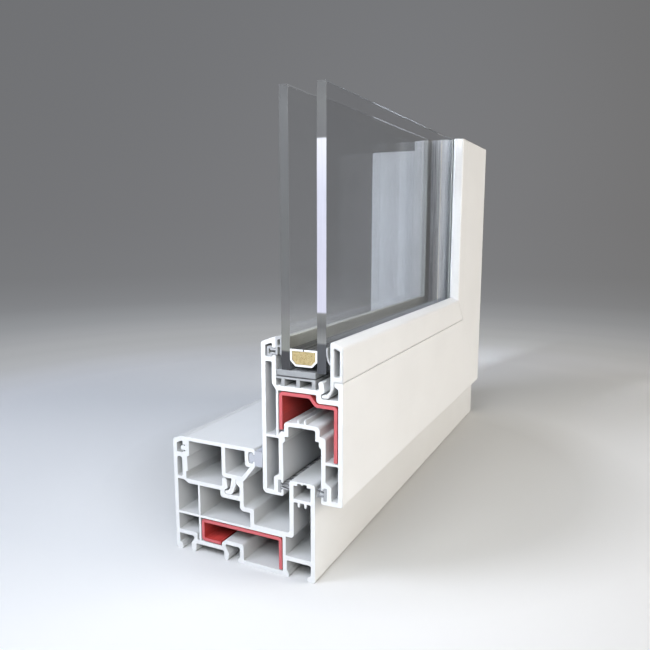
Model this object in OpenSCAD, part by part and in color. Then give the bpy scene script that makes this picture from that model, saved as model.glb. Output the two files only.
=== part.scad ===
// Corner section of a sliding window: fixed frame, sliding sash and double glazing.
// Both members are cut square at their open ends and mitred where they meet.
// In every section x runs from the weather face to the room and s runs in from the outer edge.

/* [Lengths] */
// Length of the bottom member, from its cut end to the outer corner
sill_len = 451; // [380:1:700]
// Height of the side member, from its foot to its cut end
jamb_len = 325; // [260:1:600]
// Length of the glazing bridge and of the setting block on it
block_len = 100; // [40:1:160]
// Distance from the outer corner to the square end of each steel
steel_setback = 62; // [40:1:100]

/* [Extruded walls] */
// Thickness of the outer walls of frame and sash
wall = 3.2; // [2.6:0.1:3.6]
// Thickness of the inner webs
web = 1.7; // [1.2:0.1:2.2]
// Height of the paired screw ribs
rib_h = 3; // [2:0.1:3.6]
// Distance from the middle of the rail to each screw rib
rib_off = 2.5; // [2:0.1:3]
// Thickness of a snap finger at its root
finger_t = 2; // [1.6:0.1:2.4]
// Reach of a snap finger's barb
finger_barb = 2.6; // [2.2:0.1:2.8]
// Height of a snap finger's barb above the floor of its groove
finger_rise = 4.5; // [4.2:0.1:4.8]

/* [Frame] */
// Depth of the frame through the wall
frame_depth = 117; // [113:0.5:124]
// Height of the weather flange
flange_top = 88; // [84:0.5:94]
// Width of the weather flange
flange_w = 11; // [10:0.5:12.5]
// Drop of the flange's sloping top
flange_drop = 2.8; // [1:0.1:4]
// Height of the flange's lower lip above the rebate floor
flange_lip = 20.7; // [18:0.1:22]
// Thickness of the lips at the mouth of the flange's slot
slot_lip = 2.4; // [1.8:0.1:2.8]
// Height of the mouth of the flange's slot
slot_mouth = 5.2; // [4.6:0.1:5.6]
// Height of the rebate floor
rebate_s = 55.9; // [54:0.1:57]
// Height of the clip groove's floor
clip_s = 50.7; // [49.5:0.1:51.2]
// Weather side of the clip groove's finger
clip_x = 42.8; // [40:0.1:45]
// Width of the clip groove, from the finger to the far wall
clip_w = 14.8; // [14:0.1:16]
// Height of the clip groove's lips above the rebate floor
clip_lip = 7.1; // [6.5:0.1:8]
// Reach of the nose on the clip groove's far wall
clip_nose = 3; // [2.4:0.1:3.4]
// Height of the ledge beside the track
ledge_s = 43.6; // [41:0.1:45]
// Weather side of the track
track_x = 69.2; // [67:0.1:71]
// Height of the track floor
track_s = 32.4; // [31.5:0.1:34]
// Width of the rail
rail_w = 19.4; // [17.5:0.1:21]
// Height of the rail
rail_top = 70.2; // [69:0.1:76]
// Height of the rail's cross web
rail_web_s = 57.8; // [52:0.1:60]
// Thickness of the rail's cross web
rail_web_t = 2.4; // [1.6:0.1:3]
// Height of the steel chamber's ceiling
steel_top = 28; // [26:0.1:28.6]
// Place of the upright web beside the steel chamber
web_x = 21.3; // [20.8:0.1:24]
// Thickness of the web between the steel chamber and the room side
steel_web = 2.4; // [1.8:0.1:2.8]
// Weather side of the coupling groove in the underside
groove_x = 44.6; // [43:0.1:46]
// Width of the coupling groove
groove_w = 12.1; // [11.8:0.1:12.6]
// Height of the open pockets in the underside
pocket_s = 12; // [10.6:0.1:13]
// Height of the raised underside between the feet
under_s = 6.6; // [5:0.1:7.2]
// Width of the outer feet
foot_w = 5.6; // [5:0.1:6]
// Height of the outer feet
foot_h = 4.6; // [3.8:0.1:5]

/* [Cover] */
// Thickness of the cover's walls
cover_wall = 2.9; // [2.2:0.1:3.2]
// Width of the rubber strip between cover and sash
cover_seal_w = 6.4; // [5.6:0.1:7.2]
// Depth of the strip's slot in the cover
seal_slot_w = 5.2; // [4.6:0.1:5.8]
// Drop of the slot's floor from the cover's top
seal_slot_drop = 11; // [10:0.1:12]
// Height of the lips at the slot's mouth
seal_lip = 1.5; // [1.2:0.1:1.8]
// Thickness of the lips at the slot's mouth
seal_lip_t = 1.6; // [1.2:0.1:2]

/* [Sash] */
// Depth of the sash through the wall
sash_depth = 60; // [58:0.5:64]
// Height of the sash's lower edge above the frame's outer edge
sash_s0 = 58; // [57:0.1:60]
// Height of the sash's weather flange
sash_h = 109.4; // [106:0.1:116]
// Width of the sash's weather flange
sash_flange_w = 11.3; // [10.6:0.1:12]
// Drop of the sash flange's sloping top
sash_drop = 3.7; // [2:0.1:4.4]
// Radius of the sash's lower weather edge
sash_round = 3.5; // [2:0.1:4.5]
// Width of the weather cheek beside the running channel
cheek_w = 16; // [15:0.1:17]
// Gap between the rail and each side of the running channel
rail_gap = 4.6; // [3.6:0.1:5.4]
// Height of the running channel inside
channel_h = 49.7; // [44:0.1:52]
// Inset of the running channel's crown
crown_in = 4.2; // [3.6:0.1:4.8]
// Height of the running channel's crown
crown_h = 7.4; // [6.6:0.1:8.2]
// Thickness of the crown's roof
crown_t = 2.9; // [2.4:0.1:3.4]
// Height of the glazing floor
glaze_h = 76.9; // [75.5:0.1:79]
// Depth of the bead groove below the glazing floor
bead_groove = 5.5; // [5:0.1:6]
// Height of the room lip above the glazing floor
room_lip = 6.1; // [5.6:0.1:6.6]
// Drop of the room cheek's web below the running channel's crown
room_web = 13.2; // [10:0.1:16]

/* [Brush seals] */
// Height of the brush seal's mouth above the sash's lower edge
brush_rise = 4.6; // [4.2:0.1:5]
// Height of the brush seal's mouth
brush_mouth = 5; // [4:0.1:5.6]
// Depth of the brush seal's slot
brush_depth = 4.1; // [3.6:0.1:4.5]
// Thickness of the lips at the slot's mouth
brush_lip = 1.6; // [1.2:0.1:2]
// Depth of the slot below its mouth
brush_tail = 2.3; // [1.8:0.1:2.6]
// Height of the slot above its mouth
brush_shoulder = 1.7; // [1.2:0.1:2.2]
// Thickness of the brush seal's woven back
brush_back_t = 1.9; // [1.4:0.1:2.2]

/* [Glazing] */
// Thickness of each pane
pane_t = 6.4; // [4:0.1:7]
// Width of the cavity between the panes
cavity = 19.8; // [17:0.1:22]
// Height of the glass edge above the glazing floor
glass_lift = 11.1; // [9.5:0.1:13]
// Thickness of the glazing bridge under the setting block
bridge_h = 6.7; // [5.5:0.1:8]
// Thickness of the glazing bridge's plate
bridge_plate = 1.7; // [1.2:0.1:2.4]
// Width of the glazing bridge's legs
bridge_leg = 2.6; // [2:0.1:3.2]
// Bevel round the setting block's underside
block_bevel = 0.7; // [0.4:0.1:1]
// Height of the spacer bar
spacer_h = 11.4; // [8:0.1:14]
// Distance from the glass edge to the spacer bar
spacer_rise = 3.2; // [2:0.1:6]
// Thickness of the spacer bar's walls
spacer_wall = 1.3; // [0.8:0.1:1.6]
// Size of the spacer bar's cut corners
spacer_cut = 3.8; // [3:0.1:4.4]
// Width of the glazing gasket between flange and glass
gasket_w = 4.4; // [4:0.1:5.4]
// Thickness of the glazing gasket's walls
gasket_t = 1; // [0.8:0.1:1.2]
// Drop of the glazing gasket's mouth from the sash flange's top
gasket_drop = 7.4; // [6.8:0.1:8]
// Height of the glazing gasket's mouth in the sash flange
gasket_mouth = 4.8; // [4.4:0.1:5.2]
// Thickness of the lips at the glazing gasket's mouth
gasket_lip = 2.8; // [2.4:0.1:3.2]
// Gap between glass and bead
bead_gap = 2.9; // [2:0.1:4]
// Thickness of the bead's walls
bead_wall = 2.6; // [1.8:0.1:2.8]
// Slope of the bead's top
bead_drop = 4; // [2:0.1:6]
// Distance from the bead's face to its snap finger
bead_reach = 8.6; // [8.2:0.1:9]
// Height of the soft lip between bead and glass
bead_lip_h = 11.8; // [9:0.1:13]
// Thickness of the soft lip between bead and glass
bead_lip_t = 0.9; // [0.7:0.1:1.2]

/* [Steel] */
// Thickness of the reinforcing steel
steel_t = 2.3; // [1.5:0.1:2.5]
// Outside radius of the steel's bends
steel_bend = 2.6; // [1.8:0.1:3]

/* [Fits] */
// Gap between the steels and the chambers that hold them
steel_gap = 0.7; // [0.3:0.1:0.8]
// Gap round snapped and slid-in pieces
snap_gap = 0.3; // [0.1:0.05:0.4]
// Gap between a seal and the face that slides past it
seal_gap = 0.3; // [0.2:0.05:0.6]
// Joint line between bead and sash
bead_joint = 0.2; // [0.1:0.05:0.4]

/* [Hidden] */

// Places shared by frame and sash
rail_x = frame_depth - rail_w;
rail_mid = rail_x + rail_w / 2;
channel_l = rail_x - rail_gap;
channel_r = frame_depth + rail_gap;
sash_x0 = channel_l - cheek_w;
sash_x1 = sash_x0 + sash_depth;

// Frame
clip_r = clip_x + clip_w;
clip_top = rebate_s + clip_lip;
clip_far = clip_r + wall;
ledge_under = ledge_s - wall;
web_r = web_x + web;
tall_x = rail_x - wall;
steel_r = tall_x - steel_web;
groove_r = groove_x + groove_w;
lip_s = rebate_s + flange_lip;
mouth_top = lip_s + slot_mouth;
slot_sink = 1.2;
slot_floor = lip_s - slot_sink;
slot_x = flange_w - slot_lip;

// Snap fingers and the hooks that catch under their barbs
finger_slope = 1.5;
finger_head = finger_t + finger_barb - 1;
hook_gap = 2 * snap_gap;
hook_h = finger_rise - finger_slope - snap_gap;

// Cover that fills the empty rebate
cover_x1 = sash_x0 - cover_seal_w;
cover_under = flange_top - cover_wall;
seal_slot_x = cover_x1 - seal_slot_w;
seal_slot_lo = flange_top - seal_slot_drop;
seal_neck_x = cover_x1 - seal_lip_t;

// Sash heights, from the frame's outer edge
sash_flange_x = sash_x0 + sash_flange_w;
sash_top = sash_s0 + sash_h;
glaze_s = sash_s0 + glaze_h;
channel_s = sash_s0 + channel_h;
step_s = channel_s - crown_h;
brush_lo = sash_s0 + brush_rise;
brush_hi = brush_lo + brush_mouth;
brush_slot_lo = brush_lo - brush_tail;
brush_slot_hi = brush_hi + brush_shoulder;
bead_floor_s = glaze_s - bead_groove;
room_lip_s = glaze_s + room_lip;
room_web_s = step_s - room_web;
gasket_hi = sash_top - gasket_drop;
gasket_lo = gasket_hi - gasket_mouth;
gasket_floor = gasket_lo - slot_sink;
gasket_x = sash_flange_x - gasket_lip;

// Glazing
glass_x = sash_flange_x + gasket_w;
glass_s = glaze_s + glass_lift;
cavity_x = glass_x + pane_t;
inner_x = cavity_x + cavity;
glass_x1 = inner_x + pane_t;
spacer_s = glass_s + spacer_rise;
bead_x = glass_x1 + bead_gap;
bead_in = bead_x + bead_wall;
bead_s = room_lip_s + bead_joint;
finger_x = bead_x - bead_reach;
block_x0 = sash_flange_x + snap_gap;
block_x1 = finger_x - finger_t;

// Corner radii, from the edges of rubber to wide sweeps
r_fine = 0.3;
r_nib = 0.5;
r_edge = 0.8;
r_turn = 1.2;
r_bend = 1.8;
r_sweep = 2.6;
r_bow = 4.5;

white = [0.96, 0.96, 0.94];
steel_red = [0.78, 0.25, 0.28];
seal_grey = [0.62, 0.62, 0.66];
block_grey = [0.70, 0.70, 0.74];
bridge_grey = [0.74, 0.75, 0.77];
spacer_alu = [0.85, 0.85, 0.84];
desiccant_tan = [0.80, 0.70, 0.45];
clear_glass = [0.75, 0.85, 0.82, 0.5];

// Most turn of one flat on a corner, in degrees, below and above a radius of arc_small
arc_small = 1.5;
arc_coarse = 30;
arc_fine = 15;
// Most share of a side that a corner takes, least radius drawn, flattest corner rounded
arc_share = 0.45;
arc_least = 0.05;
arc_flat = 88;

// Corners of an outline, each [x, s] or [x, s, radius], walked with its corners rounded
function unit(v) = v / norm(v);
function flat(p) = [p[0], p[1]];
function corner_arc(a, p, b) =
    let (
        u = unit(flat(a) - flat(p)),
        v = unit(flat(b) - flat(p)),
        half = acos(max(-1, min(1, u * v))) / 2,
        reach = arc_share * min(norm(flat(a) - flat(p)), norm(flat(b) - flat(p))),
        r = min(len(p) > 2 ? p[2] : 0, reach * tan(half))
    )
    r < arc_least || half > arc_flat ? [flat(p)] :
    let (
        centre = flat(p) + unit(u + v) * r / sin(half),
        start = flat(p) + u * r / tan(half) - centre,
        turn = sign(v[0] * u[1] - v[1] * u[0]) * (180 - 2 * half),
        steps = max(2, ceil(abs(turn) / (r < arc_small ? arc_coarse : arc_fine)))
    )
    [for (i = [0 : steps])
        let (a = turn * i / steps)
        centre + [start[0] * cos(a) - start[1] * sin(a), start[0] * sin(a) + start[1] * cos(a)]];
function rounded(pts) = [
    for (i = [0 : len(pts) - 1])
        each corner_arc(pts[(i + len(pts) - 1) % len(pts)], pts[i], pts[(i + 1) % len(pts)])
];
function reversed(pts) = [for (i = [len(pts) - 1 : -1 : 0]) pts[i]];

module shape(pts) {
    polygon(rounded(pts));
}

// A box in the section, by its two corners
module block(lo, hi) {
    translate(lo)
        square(hi - lo);
}

// A barbed finger that a clipped-in piece hooks under, walked up from the floor of its groove
function snap_finger(x, floor_s, top_s) = [
    [x + finger_t, floor_s, r_turn],
    [x + finger_t, floor_s + finger_rise - finger_slope, r_edge],
    [x + finger_t + finger_barb, floor_s + finger_rise, r_turn],
    [x + finger_head, top_s, r_bend],
    [x, top_s, r_turn]
];

// A pair of screw ribs that stands on a web at a height, one way up or the other
module screw_ribs(s, way) {
    root = 1;
    tip = 0.6;
    sunk = 0.5;
    for (side = [-1, 1])
        translate([rail_mid + side * rib_off, s])
            shape([
                [-root, -way * sunk], [root, -way * sunk],
                [tip, way * rib_h, r_nib], [-tip, way * rib_h, r_nib]
            ]);
}

// A section run along the sill from one place to another, with square ends
module square_run(from, to) {
    translate([0, to, 0])
        rotate([90, 0, 0])
            linear_extrude(to - from)
                children();
}

// A section run up to the corner and cut there on the mitre
module mitred_run(from) {
    top = sash_top + wall;
    intersection() {
        square_run(from, sill_len)
            children();
        rotate([90, 0, 90])
            linear_extrude(sash_x1 + wall)
                polygon([[from, 0], [sill_len, 0], [sill_len - top, top], [from, top]]);
    }
}

// Turns a run along the sill into the matching run up the jamb
module up_jamb() {
    translate([0, sill_len, sill_len])
        mirror([0, 1, 1])
            children();
}

module sill_member() {
    mitred_run(0)
        children();
}

module jamb_member() {
    up_jamb()
        mitred_run(sill_len - jamb_len)
            children();
}

// Fixed frame: the outline, with its feet, rail, ledge, clip groove and weather flange
module frame_outline() {
    foot_x = foot_w + 0.4;
    hook_r = web_x - wall;
    hook_l = hook_r - 4.2;
    hook_in = hook_r - web;
    hook_s = under_s + wall;
    leg_l = groove_x - 1.4;
    leg_r = leg_l + wall;
    nose_x = leg_r + 1;
    nose_s = under_s - 1.4;
    pocket_x = rail_x - steel_web;
    pocket_lip = 2.2;
    roof_s = flange_top - 3.4;
    roof_slope = 2;
    finger_top = clip_top - 0.7;
    nose_under = clip_top - clip_nose;
    shape(concat(
        [
            [0, 0, r_turn],
            [foot_x, 0, r_turn],
            [foot_w, foot_h, r_turn],
            [wall, foot_h, r_nib],
            [wall, pocket_s, r_nib],
            [hook_in, pocket_s, r_turn],
            [hook_in, hook_s, r_nib],
            [hook_l, under_s, r_turn],
            [hook_l, 0, r_turn],
            [hook_r, 0, r_turn],
            [hook_r, under_s, r_turn],
            [leg_l, under_s, r_turn],
            [leg_l, 0, r_turn],
            [leg_r, 0, r_turn],
            [nose_x, nose_s, r_bend],
            [groove_x, hook_s, r_turn],
            [groove_x, pocket_s, r_edge],
            [groove_r, pocket_s, r_turn],
            [groove_r, foot_h, r_edge],
            [groove_r - web, wall, r_turn],
            [groove_r - web, 0, r_turn],
            [pocket_x + pocket_lip, 0, r_turn],
            [pocket_x + pocket_lip / 2, wall, r_turn],
            [pocket_x, foot_h, r_nib],
            [pocket_x, pocket_s, r_edge],
            [frame_depth - wall, pocket_s, r_turn],
            [frame_depth - wall, foot_h, r_turn],
            [frame_depth - foot_x, wall, r_turn],
            [frame_depth - foot_x, 0, r_turn],
            [frame_depth, 0, r_bend],
            [frame_depth, rail_top, r_bend],
            [rail_x, rail_top, r_bend],
            [rail_x, track_s, r_bend],
            [track_x, track_s, r_turn],
            [track_x, ledge_s, r_turn],
            [clip_far, ledge_s, r_bend],
            [clip_far, clip_top, r_edge],
            [clip_r - clip_nose, clip_top, r_nib],
            [clip_r - clip_nose, nose_under, r_edge],
            [clip_r, nose_under - steel_web, r_nib],
            [clip_r, clip_s, r_turn]
        ],
        snap_finger(clip_x, clip_s, finger_top),
        [
            [clip_x, rebate_s, r_turn],
            [flange_w, rebate_s, r_edge],
            [flange_w, lip_s, r_nib],
            [slot_x, lip_s, r_nib],
            [slot_x, slot_floor, r_nib],
            [wall, slot_floor, r_edge],
            [wall, roof_s - roof_slope, r_edge],
            [slot_x, roof_s, r_nib],
            [slot_x, mouth_top, r_nib],
            [flange_w, mouth_top, r_nib],
            [flange_w, flange_top, r_nib],
            [flange_w - wall, flange_top, r_bend],
            [0, flange_top - flange_drop, r_bend]
        ]
    ));
}

// The frame's closed chambers
module frame_chambers() {
    floor_s = under_s + wall;
    shelf_s = pocket_s + wall;
    web_top = steel_top + web;
    under_rebate = rebate_s - wall;
    flange_foot = rebate_s - 0.9;
    flange_slope = 2.2;
    shelf_r = web_x - 1.9;
    sink_x = clip_x - web;
    saddle_x = groove_x - wall;
    saddle_s = shelf_s - 2.6;
    rail_in = rail_x + wall;
    right_in = frame_depth - wall;
    rail_web_under = rail_web_s - rail_web_t;
    // Slot in the weather flange
    shape([
        [wall, rebate_s + slot_sink, r_turn], [flange_w - wall, rebate_s + slot_sink, r_turn],
        [flange_w - wall, slot_floor - wall, r_bend], [wall, slot_floor - wall, r_bend]
    ]);
    // Two chambers behind the weather face
    shape([
        [wall, web_top, r_nib], [web_x, web_top, r_nib], [web_x, under_rebate, r_nib],
        [flange_w + flange_slope, under_rebate, r_turn],
        [flange_w - flange_slope, flange_foot, r_turn], [wall, flange_foot, r_nib]
    ]);
    shape([
        [wall, shelf_s, r_nib], [shelf_r, shelf_s, r_bend], [shelf_r, floor_s, r_nib],
        [web_x, floor_s, r_nib], [web_x, steel_top, r_nib], [wall, steel_top, r_nib]
    ]);
    // Chamber under the rebate and the clip groove
    shape([
        [web_r, web_top, r_nib], [track_x - wall, web_top, r_nib],
        [track_x - wall, ledge_under, r_nib], [clip_r, ledge_under, r_bow],
        [clip_r, clip_s - wall, r_edge], [sink_x, clip_s - wall, r_bow],
        [sink_x, under_rebate, r_nib], [web_r, under_rebate, r_nib]
    ]);
    // Steel chamber
    shape([
        [web_r, floor_s, r_nib], [saddle_x, floor_s, r_nib], [saddle_x, saddle_s, r_turn],
        [groove_x, shelf_s, r_bend], [groove_r + wall, shelf_s, r_bend],
        [groove_r + wall, wall, r_edge], [steel_r, wall, r_nib], [steel_r, steel_top, r_nib],
        [web_r, steel_top, r_nib]
    ]);
    // Tall chamber behind the room face
    difference() {
        shape([
            [tall_x, shelf_s, r_nib], [right_in, shelf_s, r_nib], [right_in, rail_web_under, r_nib],
            [rail_in, rail_web_under, r_nib], [rail_in, track_s - wall, r_bow],
            [tall_x, track_s - wall, r_nib]
        ]);
        screw_ribs(rail_web_under, -1);
    }
    rail_head(rail_in, right_in);
}

// Chamber in the rail's head, with a thinned middle for screws and a rib that marks it
module rail_head(left, right) {
    roof = 3;
    skin = 1.2;
    thin_w = 7.2;
    mark_w = 1.2;
    mark_h = 0.7;
    difference() {
        union() {
            block([left, rail_web_s], [right, rail_top - roof]);
            block([rail_mid - thin_w / 2, rail_top - roof - 1], [rail_mid + thin_w / 2, rail_top - skin]);
        }
        block([rail_mid - mark_w / 2, rail_top - skin - mark_h], [rail_mid + mark_w / 2, rail_top]);
    }
}

module frame_section() {
    difference() {
        frame_outline();
        frame_chambers();
    }
}

module frame_sill() {
    color(white)
        sill_member()
            frame_section();
}

module frame_jamb() {
    color(white)
        jamb_member()
            frame_section();
}

// Rolled steel channel in the frame
module frame_steel_section() {
    lo = under_s + wall + steel_gap;
    hi = steel_top - steel_gap;
    left = web_r + steel_gap;
    right = steel_r - steel_gap;
    toe_x = groove_x - wall - 1.2;
    heel_s = wall + steel_gap;
    shape([
        [toe_x, lo], [left, lo, steel_bend], [left, hi, steel_bend], [right, hi, steel_bend],
        [right, heel_s], [right - steel_t, heel_s], [right - steel_t, hi - steel_t, r_nib],
        [left + steel_t, hi - steel_t, r_nib], [left + steel_t, lo + steel_t, r_nib],
        [toe_x, lo + steel_t]
    ]);
}

module frame_steel_sill() {
    color(steel_red)
        square_run(0, sill_len - steel_setback)
            frame_steel_section();
}

module frame_steel_jamb() {
    color(steel_red)
        up_jamb()
            square_run(sill_len - jamb_len, sill_len - steel_setback)
                frame_steel_section();
}

// Snap-in cover over the empty rebate
module cover_section() {
    skirt_x = flange_w + 1.3;
    skirt_s = rebate_s + 5.7;
    edge_x = flange_w + wall;
    edge_s = lip_s - wall;
    leg_r = clip_r - clip_nose - snap_gap;
    leg_s = clip_top - 1.5 * clip_nose;
    foot_lo = clip_s + snap_gap;
    foot_hi = clip_s + hook_h;
    foot_x = clip_x + finger_t + hook_gap;
    floor_in = clip_top + cover_wall;
    neck = 1.2;
    barb_x = flange_w - 1.6;
    tip_x = flange_w - 4;
    slope_x = clip_far + 0.4;
    slope_s = seal_slot_lo - cover_wall + 0.6;
    bevel = unit([cover_x1 - slope_x, slope_s - clip_top]);
    inner = [slope_x, clip_top] + cover_wall * [-bevel[1], bevel[0]];
    inner_lo = inner + bevel * (floor_in - inner[1]) / bevel[1];
    inner_hi = inner + bevel * (seal_slot_lo - cover_wall - inner[1]) / bevel[1];
    difference() {
        shape([
            [flange_w, skirt_s, r_nib], [skirt_x, skirt_s, r_nib], [skirt_x, edge_s, r_nib],
            [edge_x, edge_s, r_edge], [edge_x, cover_under, r_edge], [clip_x, cover_under, r_edge],
            [clip_x, clip_top, r_sweep],
            [leg_r - wall, clip_top, r_nib], [leg_r - 1.5 * wall, rebate_s, r_turn],
            [leg_r - 2 * wall, foot_hi, r_edge], [foot_x, foot_hi, r_edge], [foot_x, foot_lo, r_turn],
            [leg_r - wall, foot_lo, r_sweep], [leg_r, leg_s, r_bend], [leg_r, clip_top, r_fine],
            [slope_x, clip_top, r_edge], [cover_x1, slope_s, r_turn],
            [cover_x1, seal_slot_lo + seal_lip, r_nib], [seal_neck_x, seal_slot_lo + seal_lip, r_nib],
            [seal_neck_x, seal_slot_lo, r_fine], [seal_slot_x, seal_slot_lo, r_sweep],
            [seal_slot_x, cover_under, r_turn], [seal_neck_x, cover_under, r_fine],
            [seal_neck_x, cover_under - seal_lip, r_nib], [cover_x1, cover_under - seal_lip, r_nib],
            [cover_x1, flange_top, r_turn], [flange_w, flange_top, r_nib],
            [flange_w, mouth_top - neck, r_fine], [flange_w - neck, mouth_top - neck, r_fine],
            [barb_x, mouth_top - snap_gap, r_nib], [tip_x, mouth_top - neck, r_turn],
            [tip_x, lip_s + neck, r_turn], [barb_x, lip_s + snap_gap, r_nib],
            [flange_w - neck, lip_s + neck, r_fine], [flange_w, lip_s + neck, r_fine]
        ]);
        shape([
            [clip_x + wall, floor_in, r_edge], inner_lo, inner_hi,
            [seal_slot_x - cover_wall, seal_slot_lo - cover_wall, r_sweep],
            [seal_slot_x - cover_wall, cover_under, r_nib], [clip_x + wall, cover_under, r_nib]
        ]);
    }
}

module cover_sill() {
    color(white)
        sill_member()
            cover_section();
}

module cover_jamb() {
    color(white)
        jamb_member()
            cover_section();
}

// Rubber strip in the cover's slot, with its body against the sliding sash
module cover_seal_section() {
    head_x = seal_slot_x + 2 * snap_gap;
    head_taper = 0.4;
    neck_x = seal_neck_x - snap_gap;
    body_r = sash_x0 - seal_gap;
    body_lo = seal_slot_lo - seal_lip;
    body_hi = flange_top - seal_lip;
    slot_lo = seal_slot_lo + snap_gap;
    slot_hi = cover_under - snap_gap;
    shape([
        [head_x, slot_lo + head_taper, r_bend], [neck_x, slot_lo, r_nib],
        [neck_x, slot_lo + seal_lip, r_fine], [cover_x1, slot_lo + seal_lip, r_fine],
        [cover_x1, body_lo, r_nib], [body_r, body_lo, r_edge],
        [body_r, body_hi, r_turn], [cover_x1, body_hi, r_nib],
        [cover_x1, slot_hi - seal_lip, r_fine], [neck_x, slot_hi - seal_lip, r_fine],
        [neck_x, slot_hi, r_nib], [head_x, slot_hi - head_taper, r_bend]
    ]);
}

module cover_seal_sill() {
    color(seal_grey)
        sill_member()
            cover_seal_section();
}

module cover_seal_jamb() {
    color(seal_grey)
        jamb_member()
            cover_seal_section();
}

// One side of the running channel, walked up from the sash's lower edge past the brush seal's slot
function channel_side(face, way) =
    let (
        mouth_x = face - way * brush_lip,
        back_x = face - way * brush_depth,
        guide_x = face + way * 1.6,
        guide_s = step_s - 3.3,
        crown_x = face + way * crown_in
    )
    [
        [face, sash_s0, r_turn],
        [face, brush_lo, r_nib],
        [mouth_x, brush_lo, r_nib],
        [mouth_x, brush_slot_lo, r_fine],
        [back_x, brush_slot_lo, r_nib],
        [back_x, brush_slot_hi, r_nib],
        [mouth_x, brush_slot_hi, r_fine],
        [mouth_x, brush_hi, r_nib],
        [face, brush_hi, r_edge],
        [face, guide_s - 1.4, r_nib],
        [guide_x, guide_s, r_nib],
        [guide_x, step_s, r_nib],
        [crown_x, step_s, r_nib],
        [crown_x, channel_s, r_turn]
    ];

// Sliding sash: the outline, with its running channel, flange, glazing floor and bead groove
module sash_outline() {
    mark = 0.5;
    room_in = sash_x1 - wall;
    room_lip_x = bead_in + snap_gap;
    room_lip_h = 2.4;
    room_lip_slope = 1.8;
    finger_foot = 2.1;
    finger_top = glaze_s + 5.7;
    slot_hi = gasket_hi + 3.3;
    slot_slope = 1.5;
    shape(concat(
        [[sash_x0, sash_s0, sash_round]],
        channel_side(channel_l, 1),
        [
            [rail_mid - mark, channel_s],
            [rail_mid, channel_s + mark],
            [rail_mid + mark, channel_s]
        ],
        reversed(channel_side(channel_r, -1)),
        [
            [sash_x1, sash_s0, r_bend],
            [sash_x1, room_lip_s, r_nib],
            [room_lip_x, room_lip_s, r_nib],
            [room_lip_x, room_lip_s - room_lip_h, r_edge],
            [room_in, room_lip_s - room_lip_h - room_lip_slope, r_nib],
            [room_in, bead_floor_s, r_edge]
        ],
        snap_finger(finger_x, bead_floor_s, finger_top),
        [
            [finger_x + r_nib, glaze_s + finger_foot, r_nib],
            [finger_x + r_nib, glaze_s, r_edge],
            [sash_flange_x, glaze_s, r_turn],
            [sash_flange_x, gasket_lo, r_edge],
            [gasket_x, gasket_lo, r_nib],
            [gasket_x, gasket_floor, r_nib],
            [sash_x0 + wall, gasket_floor, r_edge],
            [sash_x0 + wall, slot_hi - slot_slope, r_edge],
            [gasket_x, slot_hi, r_nib],
            [gasket_x, gasket_hi, r_edge],
            [sash_flange_x, gasket_hi, r_turn],
            [sash_flange_x, sash_top, r_edge],
            [sash_flange_x - r_turn, sash_top, r_edge],
            [sash_x0, sash_top - sash_drop, r_bend]
        ]
    ));
}

// The sash's closed chambers
module sash_chambers() {
    weather_in = sash_x0 + wall;
    room_in = sash_x1 - wall;
    floor_in = sash_s0 + wall;
    weather_back = channel_l - brush_depth - wall;
    room_back = channel_r + brush_depth + wall;
    shoulder_lo = brush_slot_hi + wall / 2;
    shoulder_hi = brush_slot_hi + wall + 0.6;
    cheek_r = channel_l - wall;
    cheek_l = channel_r + wall;
    flange_in = sash_flange_x - wall;
    flange_foot = 4.4;
    flange_roof = gasket_floor - wall;
    web_l = cheek_r - web;
    glaze_under = glaze_s - wall;
    bead_under = bead_floor_s - wall;
    bead_step_x = finger_x - 1.4;
    crown_s = channel_s + crown_t;
    crown_l = channel_l + crown_in - wall;
    crown_r = channel_r - crown_in + wall;
    ledge = step_s + wall;
    // Weather cheek, below and above its web
    shape([
        [weather_in, floor_in, r_nib], [weather_back, floor_in, r_nib],
        [weather_back, shoulder_lo, r_bend], [cheek_r, shoulder_hi, r_turn],
        [cheek_r, step_s - web, r_nib], [weather_in, step_s - web, r_nib]
    ]);
    shape([
        [weather_in, step_s, r_nib], [web_l, step_s, r_nib], [web_l, glaze_under, r_turn],
        [flange_in, glaze_under + flange_foot, r_bend], [flange_in, flange_roof, r_edge],
        [weather_in, flange_roof, r_edge]
    ]);
    // Room cheek below its web
    shape([
        [room_back, floor_in, r_nib], [room_in, floor_in, r_nib], [room_in, room_web_s - web, r_nib],
        [cheek_l, room_web_s - web, r_nib], [cheek_l, shoulder_hi, r_turn],
        [room_back, shoulder_lo, r_bend]
    ]);
    // Steel chamber over the running channel, with two screw ribs on the crown
    difference() {
        shape([
            [cheek_r, step_s], [cheek_r, glaze_under, r_nib], [bead_step_x, glaze_under, r_edge],
            [bead_step_x, bead_under, r_sweep], [room_in, bead_under, r_edge],
            [room_in, room_web_s, r_nib], [cheek_l, room_web_s, r_nib],
            [cheek_l, ledge, r_bow], [crown_r, ledge, r_edge],
            [crown_r, crown_s, r_sweep], [crown_l, crown_s, r_sweep], [crown_l, ledge, r_edge],
            [cheek_r + 1, ledge, r_bend]
        ]);
        screw_ribs(crown_s, 1);
    }
}

module sash_section() {
    difference() {
        sash_outline();
        sash_chambers();
    }
}

module sash_rail() {
    color(white)
        sill_member()
            sash_section();
}

module sash_stile() {
    color(white)
        jamb_member()
            sash_section();
}

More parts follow.
